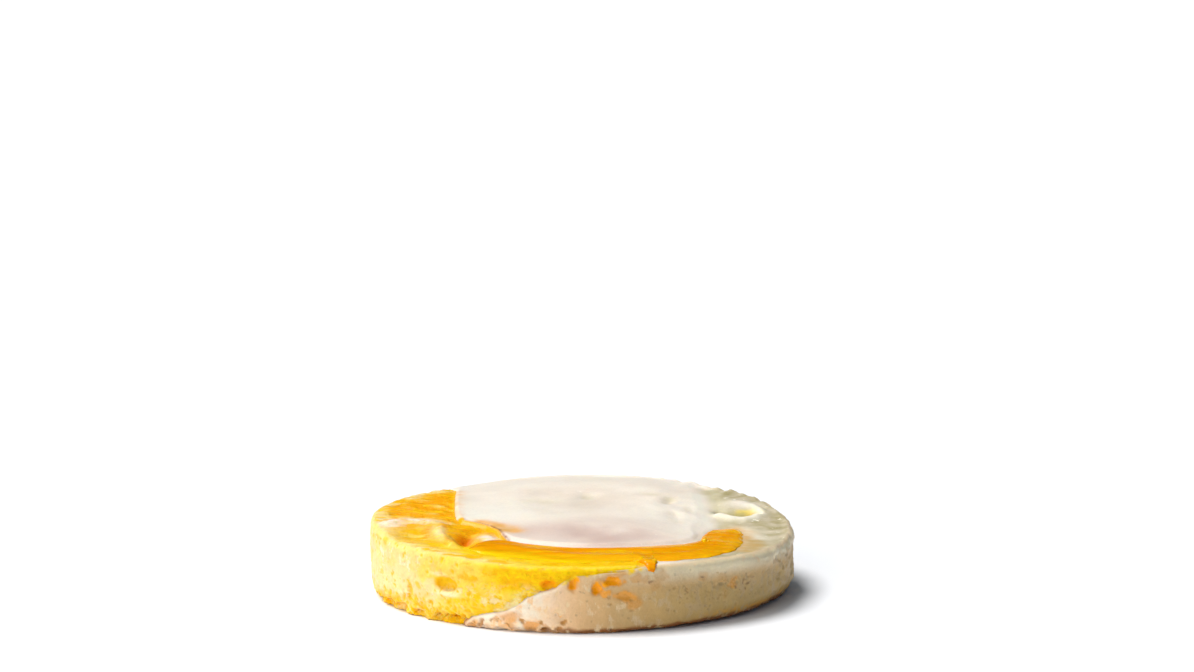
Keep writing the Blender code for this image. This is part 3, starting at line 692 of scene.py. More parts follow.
def grain(skin, rows, masks):
    """Rough relief in millimetres, from its table and the masks that the table names."""
    lift = np.zeros(len(skin.x))
    for where, height, above, waves, shift, octaves, stretch in rows:
        rough = skin.cloud(waves, shift, octaves, stretch)
        if above is not None:
            rough = np.clip(rough - above, 0.0, 1.0)
        lift += height * masks[where] * rough
    return lift


def beside_crease(skin):
    """1 along the crease."""
    return np.clip(3.0 * skin.stroke(CREASE, 1.6), 0.0, 1.0)


def white_relief(skin, sizes, pores):
    """Fine relief of the white, out along the normals, in millimetres."""
    masks = {
        "top": skin.top,
        "wall": skin.wall,
        "dimpled": skin.blob(18.0, 6.0, 7.0, 12.0),
        "right_top": (1 - smoothstep(-0.2, 0.6, skin.in_cap)) * skin.top * skin.sector(-60, 110, 14),
        "right_wall": skin.wall * skin.sector(330, 392, 8),
        "right_middle": skin.wall * skin.sector(300, 372, 10) * hill(skin.rise - 6.5, 5.0),
        "foot": skin.wall * (1 - smoothstep(0.3, 1.8, skin.rise)),
    }
    lift = grain(skin, WHITE_GRAIN, masks)
    for *oval, dip in CAP_DIMPLES:
        lift -= dip * skin.blob(*oval)
    for shape, height in WHITE_RELIEF:
        lift += height * skin.shape(shape)
    lip = hill(skin.from_edge - LIP_PLACE, LIP_HALF_WIDTH) * sizes.lip_height / MM
    lip *= 0.1 + 0.9 * skin.wall * (1 - 0.9 * skin.sector(266, 300, 3))
    dive = hill(skin.from_edge, DIVE_HALF_WIDTH) * sizes.lip_dive / MM
    lift += lip * (1 - skin.stroke(CREASE, 2.0)) - dive
    lift -= CREASE_DEPTH * beside_crease(skin) * hill(skin.from_edge - CREASE_PLACE, 0.4)
    for start, end, soft, place, half_width, uneven, waves, shift in RIM_RIDGES:
        ridge = hill(skin.from_rim - place, half_width) * skin.top * skin.sector(start, end, soft)
        lift += RIDGE_HEIGHT * ridge * (1 + uneven * skin.cloud(waves, shift, 2))
    lift -= FOOT_PULL * (1 - smoothstep(0.0, FOOT_HEIGHT, skin.rise)) * skin.wall * skin.sector(285, 345, 18)
    return lift - (pores + gap_depth(skin, WHITE_GAPS, WHITE_GAP_SEED)) * (1 - skin.base)


def yolk_relief(skin, sizes, pores):
    """Fine relief of the set yolk, out along the normals, in millimetres."""
    foot = skin.wall * (1 - smoothstep(0.3, 2.6, skin.rise))
    lift = grain(skin, YOLK_GRAIN, {"top": skin.top, "wall": skin.wall, "foot": foot})
    lift += skin.top * 0.12 * np.abs(skin.cloud(900.0, 7.0, 2, (0.3, 1.0, 1.0)))
    lift -= 0.16 * hill(skin.from_edge, 0.9)
    for shape, height in YOLK_RELIEF:
        lift += height * skin.shape(shape)
    lift -= 0.35 * smoothstep(0.25, 0.6, skin.spot(231.5, 7.1, 4.2, 2.0) + 0.3 * skin.cloud(600.0, 3.9, 2))
    lift += 0.25 * skin.spot(231.8, 5.3, 4.2, 0.8)
    return lift - (pores + gap_depth(skin, YOLK_GAPS, YOLK_GAP_SEED)) * (1 - skin.base)


def yolk_outline(height):
    """The closed plan outline of the yolk's block at a height, with as many points at every height."""
    start = float(np.interp(height, *zip(*YOLK_BACK_EDGE)))
    end = float(np.interp(height, *zip(*YOLK_WALL_EDGE)))
    outer = np.radians(np.linspace(start, end, OUTER_POINTS))
    arc = BLOCK_RADIUS * np.stack([np.cos(outer), np.sin(outer)], axis=1)
    share = np.linspace(0.0, 1.0, INNER_POINTS)
    shelf = smoothstep(YOLK_SHELF_LOW, YOLK_SHELF_HIGH, height)
    low = open_curve(YOLK_INNER_BASE, share) * MM
    inner = low + (open_curve(YOLK_INNER_TOP, share) * MM - low) * shelf
    wall_point = INNER_EDGE_RADIUS * np.array([[math.cos(outer[-1]), math.sin(outer[-1])]])
    return np.vstack([arc, wall_point, inner])


def yolk_block(name, extra):
    """The block that the yolk fills: plan outlines at rising heights, bridged, with closed ends."""
    bm = bmesh.new()
    known = sorted([height for height, _ in YOLK_WALL_EDGE] + [YOLK_SHELF_HIGH])
    heights = known[:1] + [h for a, b in zip(known, known[1:]) for h in ((a + b) / 2, b)]
    loops = []
    for height in heights:
        ring = [bm.verts.new((x, y, height)) for x, y in yolk_outline(height)]
        loops.append([bm.edges.new(pair) for pair in zip(ring, ring[1:] + ring[:1])])
    for low, high in zip(loops[:-1], loops[1:]):
        bmesh.ops.bridge_loops(bm, edges=low + high)
    for loop in (loops[0], loops[-1]):
        bmesh.ops.contextual_create(bm, geom=loop)
    bmesh.ops.triangulate(bm, faces=bm.faces)
    face_outwards(bm)
    if extra:
        grow(bm, extra)
    return new_object(name, bm)


# Waviness of the band's inner and outer edge: (share of the distance from the middle, phase), and its waves
EDGE_WAVES = ((0.0028, 0.4), (0.0040, 1.9))
LONG_WAVES = 58
SHORT_WAVES = 143
SHORT_WAVES_SHARE = 0.7
# How much the band's columns crowd together at the drip, and its rows towards the rim
COLUMN_PULL = 0.7
ROW_POWER = 1.25
# Where the band's surface meets its edge softly: at its right end, and on its lower half up to a share of
# its length
SOFT_END = (0.80, 0.95)
SOFT_LOWER_HALF = (0.5, 0.8)
SOFT_UNTIL = (0.38, 0.46)
# How far apart the places are from which the skin's direction is taken
NORMAL_STEP = 0.05 * MM


def band_edges(share):
    """The band's two edges at shares 0 to 1 of its length. The outer one runs out into the drip."""
    inner = open_curve(BAND_INNER, share) * MM
    outer = open_curve(BAND_OUTER, share) * MM
    for edge, (size, phase) in zip((inner, outer), EDGE_WAVES):
        short = np.sin(SHORT_WAVES * share + 2 * phase)
        waves = np.sin(LONG_WAVES * share + phase) + SHORT_WAVES_SHARE * short
        edge *= (1 + size * waves * smoothstep(0.1, 0.7, share))[:, None]
    reach = np.hypot(outer[:, 0], outer[:, 1])
    tongue = 1 - smoothstep(DRIP_SHOULDER, 1.0, np.abs(share - DRIP_PLACE) / DRIP_HALF_WIDTH)
    return inner, outer * (1 + DRIP_REACH * tongue / reach)[:, None], tongue


def skin_normal(x, y):
    """The outward direction of the skin at a plan place, with places past the rim unrolled down the wall."""
    angle = np.degrees(np.arctan2(y, x))
    reach = np.hypot(x, y)
    along = skin_point(angle, reach + NORMAL_STEP) - skin_point(angle, reach - NORMAL_STEP)
    turn = np.degrees(NORMAL_STEP / reach)
    round_way = skin_point(angle + turn, reach) - skin_point(angle - turn, reach)
    normal = np.cross(along, round_way)
    return normal / np.linalg.norm(normal, axis=1)[:, None]


def band_grid(columns, strips):
    """A flat grid, and each vertex's share of the band's length and of its width."""
    bm = bmesh.new()
    bmesh.ops.create_grid(bm, x_segments=columns, y_segments=strips, size=0.5)
    places = np.array([v.co for v in bm.verts])
    even = np.linspace(0.0, 1.0, columns + 1)
    pull = COLUMN_PULL * DRIP_HALF_WIDTH * np.tanh((even - DRIP_PLACE) / (2.0 * DRIP_HALF_WIDTH))
    fade = smoothstep(0.0, 0.1, even) * (1 - smoothstep(0.9, 1.0, even))
    shares = even - pull * fade
    share = shares[np.rint((places[:, 0] + 0.5) * columns).astype(int)]
    across = np.rint((places[:, 1] + 0.5) * strips) / strips
    return bm, share, 1 - (1 - across) ** ROW_POWER


def close_under(bm, top, under):
    """Moves the grid to its top, copies it to its underside and joins their edges into a closed body."""
    for vertex, place in zip(bm.verts, top):
        vertex.co = place
    upper = list(bm.verts)
    rim_edges = [e for e in bm.edges if e.is_boundary]
    copy = bmesh.ops.duplicate(bm, geom=list(bm.verts) + list(bm.edges) + list(bm.faces))
    twin = copy["vert_map"]
    for vertex, place in zip(upper, under):
        twin[vertex].co = place
    for edge in rim_edges:
        a, b = edge.verts
        bm.faces.new((a, b, twin[b], twin[a]))
    face_outwards(bm)


def band_body(columns, strips, over, below, ripple=None):
    """The runny yolk as a bmesh: a rounded top that stands over the skin by so much at its edge, and a dished
    underside that lies so much below it there."""
    bm, share, across = band_grid(columns, strips)
    inner, outer, tongue = band_edges(share)
    plan = inner + (outer - inner) * across[:, None]
    point = skin_point(np.degrees(np.arctan2(plan[:, 1], plan[:, 0])), np.hypot(plan[:, 0], plan[:, 1]))
    normal = skin_normal(plan[:, 0], plan[:, 1])
    end = smoothstep(0.0, BAND_START_TAPER, share) * (1 - smoothstep(BAND_END_TAPER, 1.0, share))
    soft_start = smoothstep(*SOFT_LOWER_HALF, across) * (1 - smoothstep(*SOFT_UNTIL, share))
    soft = np.maximum(smoothstep(*SOFT_END, share), soft_start)
    fill = np.clip(1 - np.abs(2 * across - 1) ** 3, 0.0, 1.0) ** (0.5 + 0.7 * soft)
    fill = fill * (BAND_TIP + (1 - BAND_TIP) * end)
    bulge = BAND_MENISCUS + DRIP_BULGE * tongue * smoothstep(DRIP_BULGE_START, 1.0, across)
    lift = bulge * fill + over
    if ripple is not None:
        lift = lift + ripple(point, share, across) * fill
    layers = [bm.verts.layers.float.new(name) for name in ("along", "across")]
    for vertex, values in zip(bm.verts, zip(share, across)):
        for layer, value in zip(layers, values):
            vertex[layer] = value
    close_under(bm, point + normal * lift[:, None], point - normal * (BAND_DEPTH * fill + below)[:, None])
    return bm


def cut(obj, cutter, operation):
    """Cuts the object with another closed one and keeps the result as its mesh. The cutter is removed."""
    modifier = obj.modifiers.new("cut", "BOOLEAN")
    modifier.operation = operation
    modifier.solver = "MANIFOLD"
    modifier.object = cutter
    bpy.context.view_layer.update()
    seen = obj.evaluated_get(bpy.context.evaluated_depsgraph_get())
    mesh = bpy.data.meshes.new_from_object(seen)
    obj.modifiers.clear()
    old = obj.data
    obj.data = mesh
    mesh.name = obj.name
    bpy.data.meshes.remove(old)
    cutter_mesh = cutter.data
    bpy.data.objects.remove(cutter)
    bpy.data.meshes.remove(cutter_mesh)
    if len(mesh.vertices) == 0:
        raise RuntimeError(f"cutting {obj.name} left nothing")


# Edges sharper than this, in degrees, stay sharp
CUT_SHARPNESS = 55.0
BAND_SHARPNESS = 75.0


def finish_piece(obj, node, slot, look, sharp_angle=CUT_SHARPNESS):
    """Smooth shading with sharp cut edges, the material, and what the piece stands for."""
    mesh = obj.data
    mesh.shade_smooth()
    mesh.set_sharp_from_angle(angle=math.radians(sharp_angle))
    mesh.materials.clear()
    mesh.materials.append(food_material(slot, look))
    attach(obj, BODY)
    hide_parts(node)


def linear(colour):
    """A colour as the screen shows it, turned into linear light."""
    c = np.array(colour, float)
    return np.where(c <= 0.04045, c / 12.92, ((c + 0.055) / 1.055) ** 2.4)


class Paint:
    """Colour, flecks of a second colour and wetness for every vertex of a piece, laid on in layers."""

    def __init__(self, count, colour, wet):
        self.colour = np.tile(linear(colour), (count, 1))
        self.fleck = self.colour.copy()
        self.flecks = np.zeros(count)
        self.wet = np.full(count, wet)

    def over(self, mask, colour, strength=1.0):
        """Lays a colour over what is there, where the mask is above 0."""
        share = np.clip(mask * strength, 0.0, 1.0)[:, None]
        self.colour += share * (linear(colour) - self.colour)

    def flecked(self, mask, colour, amount):
        """Sets the flecks' colour and how much of the surface they take, where the mask is above 0."""
        share = np.clip(mask, 0.0, 1.0)
        self.fleck += share[:, None] * (linear(colour) - self.fleck)
        self.flecks += share * (amount - self.flecks)

    def wetter(self, mask, value):
        """Makes the surface wetter or drier where the mask is above 0."""
        self.wet += np.clip(mask, 0.0, 1.0) * (value - self.wet)

    def store(self, mesh, **extra):
        """Writes the layers to the mesh as attributes."""
        for name, colours in (("tint", self.colour), ("fleck", self.fleck)):
            layer = mesh.attributes.new(name, "FLOAT_COLOR", "POINT")
            rgba = np.hstack([np.clip(colours, 0.0, 1.0), np.ones((len(colours), 1))])
            layer.data.foreach_set("color", rgba.ravel())
        for name, values in {"wet": self.wet, "flecks": self.flecks, **extra}.items():
            layer = mesh.attributes.new(name, "FLOAT", "POINT")
            layer.data.foreach_set("value", np.clip(values, 0.0, 1.0))


# Lines that are painted on the top: the stained edge of the cap, the lip of the fold, both fading ends of
# the band, the streak of white, the yolk's tongue and the pit
PEACH_LINE = ((-18.4, -4.6), (-15.6, -6.8), (-13.4, -9.0), (-12.0, -12.0))
FOLD_LIP = ((25.4, 6.2), (27.7, 4.4), (30, 4.4), (32.1, 5.8), (33.2, 8.4), (33.1, 10.5), (32.4, 12.5))
BAND_END = ((28.4, -1.8), (29.7, -4), (29.9, -9), (29.2, -15), (28.2, -21))
FADED_END = ((31.4, -12), (31.2, -18), (30.1, -22.5))
STREAK = ((-34.8, -6.6), (-32.6, -4.6), (-29.4, -4.4), (-27.0, -5.4))
TONGUE = ((-24.0, -7.6), (-22.3, -6.6), (-20, -6.1), (-17.9, -7.7), (-17.2, -10.7))
PIT = ((-21.8, -20.4), (-21.2, -17.1), (-21.0, -14.0))
# Touches of colour on the top, in order: (over or flecked, stroke or blob, colour, amount, and, unless the
# shape is EVENLY laid, how much of it is even, follows the broad cloud and follows the fine cloud)
EVENLY = (1.0, 0.0, 0.0)
CAP_TOUCHES = (
    # Painted light: paler patches at the left and the right of the cap
    ("over", (-14, 4, 12, 11), "cap_painted_light", 0.75),
    ("over", (13, -8, 9, 9), "cap_painted_light", 0.6),
    # Painted shade on the back and the middle of the cap
    ("over", (2, 18, 26, 9), "cap_shade", 0.7, (0.6, 0.9, 0.0)),
    ("over", (-1, 8, 7, 8), "cap_shade", 0.7, (0.8, 0.8, 0.0)),
    ("over", (3, -14, 11, 9), "cap_pink", 0.95, (0.85, 0.7, 0.0)),
    ("over", (9, -17, 5, 5), "cap_pink", 0.5),
    ("over", (-9, -12, 8, 6), "cap_pink", 0.55),
)
WHITE_TOUCHES = (
    # Painted shade down the valley
    ("over", (((24, 26), (24.5, 20), (25.1, 14.5), (25.3, 7.6)), 2.0), "hollow_shade", 0.75),
    ("over", (((25.3, 7.6), (25.4, 2.3), (25.9, -0.3)), 1.6), "hollow_shade", 0.5),
    # Painted light on the top of the fold
    ("over", (29.8, 13.6, 3.4, 2.6), "cap_painted_light", 0.8),
    ("over", (((29.6, 9.5), (32.8, 9.8)), 1.0), "slit", 1.5),
    # Painted shade along the left part of the slit
    ("over", (((26.2, 9.2), (30.0, 9.2)), 0.8), "hollow_shade", 0.9),
    ("over", (FOLD_LIP, 1.2), "fold_lip", 0.9),
    # Painted light along the cap's right slope, which faces away from the light
    ("over", (((22.0, 20), (22.4, 8), (22.2, 0)), 1.6), "cap_painted_light", 0.8),
    ("over", (PEACH_LINE, 1.7), "peach", 1.0, (0.95, 0.0, 0.5)),
    ("over", (((-15.8, -7.6), (-13.8, -11.4)), 1.3), "tan", 0.9, (0.95, 0.0, 0.5)),
    ("over", (((-23.6, 24), (-23.6, 8), (-23.1, 0)), 1.3), "peach", 0.4, (1.0, 0.0, 1.0)),
    ("over", (((30.0, -3), (31.4, -9), (31.0, -16)), 2.8), "fold_lip", 0.75, (1.0, 0.8, 0.0)),
    ("flecked", (BAND_END, 2.0), "tan", 0.0, (0.8, 0.0, 0.5)),
    ("over", (BAND_END, 2.0), "tan", 0.75, (0.8, 0.0, 0.5)),
    ("over", (FADED_END, 1.8), "right_top", 0.8, (0.8, 0.0, 0.5)),
    ("over", (FADED_END, 1.8), "tan", 0.45, (0.8, 0.0, 0.5)),
)
YOLK_TOUCHES = (
    ("over", (-29.6, -14.8, 4.4, 4.8), "yolk_deep", 0.9),
    ("flecked", (-29.6, -14.8, 5.4, 5.6), "yolk_yellow", 0.4),
    ("over", (STREAK, 2.7), "streak", 1.0, (1.1, 0.0, 0.9)),
    ("flecked", (STREAK, 3.2), "yolk_deep", 0.26),
    ("over", (((-27.6, -8.4), (-28.3, -12.5), (-27.4, -15.6)), 1.1), "yolk_orange", 0.9),
    ("over", (PIT_LIP, 1.5), "yolk_pale", 1.1),
    ("flecked", (PIT_LIP, 1.8), "yolk_yellow", 0.36),
    ("over", (((-23.2, -20.0), (-23.6, -9.0)), 1.2), "yolk_deep", 1.1),
    ("over", (((-24.1, -18.2), (-23.1, -23.1), (-22.1, -25.8)), 1.2), "yolk_yellow", 0.7),
    ("over", (TONGUE, 2.0), "tongue", 1.1),
    ("over", (((-20.4, -9.5), (-19.8, -12.8)), 2.2), "tongue", 1.0),
    ("flecked", (TONGUE, 3.0), "yolk_orange", 0.35),
    ("over", (-16.8, -15.8, 2.7, 2.7), "streak", 1.4),
    ("flecked", (-16.6, -15.6, 2.1, 2.2), "yolk_pale", 0.3),
    ("over", (((-22.4, -20.0), (-22.0, -13.0)), 2.4), "yolk_orange", 0.9),
    ("over", (PIT, 1.4), "pit", 1.1),
    ("flecked", (PIT, 1.4), "pit", 0.0),
    ("over", (((-19.0, -16.0), (-18.6, -18.6), (-20.0, -22.0)), 1.0), "yolk_deep", 0.9),
)


def touch_up(paint, skin, c, touches, broad, fine):
    """Lays a table of touches on the top, in their order."""
    for way, values, colour, amount, *uneven in touches:
        even, by_broad, by_fine = uneven[0] if uneven else EVENLY
        mask = skin.shape(values) * (even + by_broad * broad + by_fine * fine)
        getattr(paint, way)(mask, getattr(c, colour), amount)


def paint_white(skin, c, pores, rims):
    """The colours of the white: a cream cap, shaded pink, with painted light and shade, a dull right side, a
    tan wall darkened to the right partly by painted shade, a browned edge.
    """
    paint = Paint(len(skin.x), c.cap, 0.55)
    blur = skin.cloud(110.0, 12.0)
    fine = skin.cloud(450.0, 14.0)
    touch_up(paint, skin, c, CAP_TOUCHES, blur, fine)
    right = (1 - smoothstep(-2.4, 0.8, skin.in_cap)) * skin.top * skin.sector(-62, 80, 10)
    paint.over(right, c.right_top, 0.75 + 0.25 * fine)
    paint.flecked(right, c.fold_lip, 0.1)
    # Painted shade in the cap's dimples, darker the deeper the dimple
    for *oval, dip in CAP_DIMPLES:
        paint.over(skin.blob(*oval), c.hollow_shade, 2.6 * dip)
    touch_up(paint, skin, c, WHITE_TOUCHES, blur, fine)
    beside = beside_crease(skin)
    paint.over(beside * (1 - smoothstep(1.1, 1.3, skin.from_edge)), c.tongue)
    paint.flecked(beside, c.tongue, 0.0)
    front_end = smoothstep(-21, -15, skin.u)
    line = hill(skin.from_edge - CREASE_PLACE, DIVE_HALF_WIDTH) * (0.7 + fine) * (0.3 + 0.7 * front_end)
    paint.over(beside * line, c.crease)
    paint_white_wall(paint, skin, c, blur, fine)
    paint.over(pores, c.wall_pore, 0.55)
    paint.over(pores * skin.sector(236, 275, 6), c.stain_edge, 0.7)
    paint.over(rims, c.wall_pale, 0.1)
    paint_white_edges(paint, skin, c, fine)
    paint.wetter(right, 0.0)
    paint.wetter(skin.base, 0.1)
    return paint


def paint_white_wall(paint, skin, c, blur, fine):
    """The white's wall: warm and pale at the left, darker to the right, partly its own tan and partly painted
    shade where it turns from the light, with stains and burnt specks.
    """
    wall = skin.wall
    left = skin.sector(232, 262, 9)
    far_right = skin.sector(282, 480, 22)
    # The top of the wall at the right is paler: partly its milky edge, partly painted light along the rim
    milky_lit_top = far_right * smoothstep(7.6, 10.4, skin.rise)
    paint.wetter(wall, 0.35)
    # Partly the wall's own tan, partly painted shade: darker step by step towards the right, and at the right
    # lower down
    paint.over(wall, c.wall_white)
    paint.over(wall * (1 - left), c.wall_warm, 0.9)
    paint.over(wall * skin.sector(266, 480, 12), c.wall_tan, 0.9)
    paint.over(wall * far_right * (0.25 + 0.75 * smoothstep(10.0, 5.5, skin.rise)), c.wall_dark_and_shade, 0.9)
    paint.over(wall * milky_lit_top, c.wall_top_milky_and_lit, 0.95)
    paint.over(wall * np.clip(0.7 * blur, 0, 1), c.wall_shade, 0.3)
    paint.flecked(wall, c.wall_pale, 0.26)
    paint.flecked(wall * left, c.wall_warm, 0.40)
    paint.over(skin.spot(280.5, 4.0, 4.0, 3.0), c.wall_shade, 0.4)
    paint.flecked(wall * far_right * (1 - milky_lit_top), c.wall_shade, 0.36)
    paint.flecked(wall * milky_lit_top, c.wall_pale, 0.2)
    paint.over(wall * np.clip(0.7 * fine, 0, 1) * skin.sector(236, 262, 8), c.peach, 0.8)
    for at, level, width, tall, strength in WHITE_STAINS:
        stain = skin.stain(at, level, 1.25 * width, 1.25 * tall)
        paint.over(smoothstep(0.02, 0.7, stain), c.stain_edge, 0.7 * strength)
        paint.over(smoothstep(0.35, 0.7, stain), c.stain_orange, 2.2 * strength - 1.2)
        paint.flecked(smoothstep(0.2, 0.5, stain), c.stain_orange, 0.0)
        paint.wetter(smoothstep(0.2, 0.6, stain), 0.9)
    for at, level, size in WHITE_SPECKS:
        paint.over(skin.stain(at, level, 1.3 * size, size), c.speck, 0.8)


def paint_white_edges(paint, skin, c, fine):
    """The edges of the white's wall: beside the yolk, and its browned and burnt bottom edge."""
    outside = np.maximum(skin.wall, skin.base)
    beside_yolk = skin.wall * skin.sector(236, 264, 4)
    paint.over(hill(skin.from_edge - 0.5, 0.45) * beside_yolk, c.wall_white, 0.6)
    paint.over(hill(skin.from_edge, 0.28) * beside_yolk, c.crease, 0.7)
    ragged = smoothstep(0.0, 0.5, 0.6 + 1.4 * fine - skin.from_edge) * skin.wall * skin.sector(265, 289, 2)
    paint.over(ragged, c.yolk_bright, 0.95)
    low = (1 - smoothstep(0.3, 1.3, skin.rise - 0.35 * fine)) * outside
    paint.over(low * (0.15 + 0.7 * skin.sector(272, 480, 25)), c.browned, 0.7)
    glow = hill(skin.rise - 1.6 - 0.5 * fine, 0.6) * skin.wall * skin.sector(308, 352, 12)
    paint.over(glow, c.glow, 0.75)
    burnt_height = skin.rise - 0.3 * fine - 0.5 * skin.sector(290, 350, 12)
    burnt = (1 - smoothstep(0.5, 1.2, burnt_height)) * outside
    paint.over(burnt * (0.3 + 0.7 * skin.sector(262, 480, 12)), c.dark_edge, 0.9)
    paint.over(skin.base * np.clip(0.75 + fine, 0, 1), c.underside, 0.9)


# Stains of the white's wall: (angle, height, width, tall, strength), and specks: (angle, height, size)
WHITE_STAINS = (
    (267.7, 9.1, 1.3, 2.0, 1.0), (273.9, 8.1, 1.7, 1.7, 1.0), (276.2, 7.1, 1.1, 1.0, 0.8),
    (277.8, 9.4, 2.4, 1.3, 1.0), (281.2, 6.6, 3.2, 1.5, 0.72), (283.0, 5.2, 1.6, 1.4, 0.62),
    (238.8, 1.2, 3.2, 1.6, 0.8), (250.4, 2.8, 2.6, 1.8, 0.70), (279.0, 10.4, 2.4, 0.8, 0.6),
    (283.6, 9.9, 1.6, 0.9, 0.6), (286.6, 9.4, 1.2, 1.0, 0.55), (289.5, 8.4, 1.0, 1.2, 0.45),
    (303.5, 8.9, 1.4, 1.2, 0.5), (309.5, 8.2, 1.5, 1.2, 0.35), (313.7, 7.0, 1.6, 1.4, 0.65),
    (310.8, 5.3, 1.3, 1.2, 0.35), (291.0, 9.9, 1.8, 1.2, 0.5), (256.7, 1.4, 1.4, 1.4, 0.75),
    (260.6, 1.0, 1.0, 0.8, 0.6), (249.0, 3.3, 2.0, 1.4, 0.35), (251.0, 1.0, 1.0, 0.8, 0.6),
    (264.0, 2.6, 1.4, 1.2, 0.25),
)
WHITE_SPECKS = (
    (270.0, 7.5, 0.32), (288.4, 8.9, 0.40), (314.5, 6.0, 0.45), (317.3, 6.7, 0.55), (318.6, 7.6, 0.45),
    (316.2, 5.4, 0.40), (333.8, 9.5, 0.40), (303.1, 8.9, 0.30), (319.6, 6.2, 0.60), (320.8, 7.3, 0.45),
    (318.2, 5.2, 0.50), (321.5, 5.6, 0.35), (299.0, 6.5, 0.25), (254.0, 1.7, 0.30), (20.0, 6.0, 0.40),
    (64.0, 8.5, 0.45), (98.0, 5.0, 0.40),
)


# How far behind each streak of the yolk its pale line runs
STREAK_GAP = 1.6
# The hole in the yolk's wall: (angle, height, width, tall)
YOLK_HOLE = (231.5, 7.1, 4.4, 2.1)


def paint_yolk(skin, c, pores, rims):
    """The colours of the set yolk: orange on top with a white streak, pale at the left, bright in front."""
    paint = Paint(len(skin.x), c.yolk_deep, 0.65)
    blur = skin.cloud(160.0, 22.0)
    fine = skin.cloud(700.0, 24.0, 3, (0.5, 1.0, 1.0))
    paint.flecked(skin.top, c.yolk_orange, 0.5)
    paint.over(np.clip(0.8 * blur, 0, 1) * skin.top, c.yolk_orange, 0.7)
    front = smoothstep(-16, -23, skin.v) * skin.top
    paint.over(front, c.yolk_bright, 0.95)
    paint.flecked(front, c.yolk_deep, 0.35)
    paint.over(skin.blob(4, -35, 9, 4), c.yolk_deep, 0.9)
    not_front = skin.top * (1 - smoothstep(232, 262, skin.angle))
    rim = smoothstep(34.0 - 2.0 * fine, 37.8, skin.radius / MM) * not_front
    paint.over(rim, c.yolk_pale, 0.85)
    paint.flecked(rim, c.yolk_deep, 0.45)
    touch_up(paint, skin, c, YOLK_TOUCHES, blur, fine)
    paint.wetter(skin.stroke(PIT, 1.4), 1.0)
    for points, _, _ in YOLK_STREAKS:
        paint.over(skin.stroke(points, 0.9) * (0.8 + fine), c.yolk_orange, 1.0)
        behind = tuple((x, y + STREAK_GAP) for x, y in points)
        paint.over(skin.stroke(behind, 0.7) * (0.3 + 1.2 * fine), c.yolk_pale, 0.5)
    paint_yolk_wall(paint, skin, c, blur, fine)
    paint.over(rims, c.yolk_cream_and_highlight, 0.12)
    paint.over(pores, c.yolk_stain, 0.9)
    paint.flecked(pores, c.yolk_stain, 0.0)
    paint.over(hill(skin.from_edge, 0.5) * skin.wall * skin.sector(236, 290, 4), c.yolk_deep, 0.7)
    low = (1 - smoothstep(0.2, 0.7, skin.rise - 0.3 * fine)) * np.maximum(skin.wall, skin.base)
    paint.over(low * (0.45 + 0.5 * fine), c.browned, 0.18)
    paint.over(skin.base * np.clip(0.75 + fine, 0, 1), c.underside_yolk, 0.9)
    paint.wetter(skin.wall, 0.4)
    paint.wetter(skin.base, 0.1)
    return paint


def paint_yolk_wall(paint, skin, c, blur, fine):
    """The wall of the yolk: pale at the left and bright at the front, with patches, stains and the hole, whose
    lower lip gets a painted highlight.
    """
    wall = skin.wall
    to_front = smoothstep(210, 244, skin.angle) * (1 - smoothstep(300, 330, skin.angle))
    yellow = wall * smoothstep(0.2, 0.7, to_front + 0.35 * blur)
    bright = wall * to_front * smoothstep(6.0, 9.0, skin.rise + 1.6 * blur)
    patches = wall * smoothstep(0.1, 0.45, skin.cloud(260.0, 26.0))
    low_left = wall * skin.sector(186, 244, 8) * (1 - smoothstep(1.6, 4.4, skin.rise + blur))
    paint.over(wall, c.yolk_pale)
    paint.flecked(wall, c.yolk_cream_and_highlight, 0.2)
    paint.over(patches, c.yolk_yellow, 0.4)
    paint.over(wall * skin.sector(160, 222, 8) * smoothstep(9.0, 12.0, skin.rise), c.yolk_yellow, 0.35)
    paint.over(yellow, c.yolk_yellow)
    paint.flecked(yellow, c.yolk_pale, 0.34)
    paint.over(bright, c.yolk_bright)
    high = smoothstep(5.0, 8.0, skin.rise + blur)
    paint.over(wall * smoothstep(238, 252, skin.angle) * high, c.yolk_bright)
    paint.flecked(bright, c.yolk_deep, 0.38)
    paint.over(patches * smoothstep(0.1, 0.6, to_front), c.yolk_bright, 0.85)
    paint.over(wall * skin.sector(222, 244, 6) * smoothstep(6.5, 9.0, skin.rise), c.yolk_pale, 0.3)
    paint.over(wall * skin.sector(238, 250, 5) * hill(skin.rise - 4.0, 3.0), c.yolk_bright, 0.7)
    paint.over(low_left * np.clip(0.6 + fine, 0, 1), c.yolk_yellow, 0.6)
    paint.flecked(low_left, c.yolk_deep, 0.5)
    paint.over(wall * np.clip(fine - 0.15, 0, 1) * (0.3 + to_front), c.yolk_deep, 0.9)
    for at, level, width, tall, strength in YOLK_STAINS:
        stain = skin.stain(at, level, 1.1 * width, 1.1 * tall)
        paint.over(smoothstep(0.15, 0.7, stain), c.yolk_stain, strength)
    hole = smoothstep(0.15, 0.6, skin.stain(*YOLK_HOLE))
    paint.over(hole, c.yolk_stain)
    paint.flecked(hole, c.yolk_stain, 0.0)
    spot = smoothstep(0.1, 0.6, skin.stain(261.4, 8.6, 2.4, 1.5))
    paint.over(spot, c.red_spot)
    paint.flecked(spot, c.red_spot, 0.0)
    # Painted highlight: cream on the raised lower lip of the hole
    paint.over(skin.spot(232.4, 5.5, 4.6, 0.9), c.yolk_cream_and_highlight, 0.9)
    paint.over(skin.spot(229.0, 8.9, 3.4, 0.7), c.yolk_cream_and_highlight, 0.5)


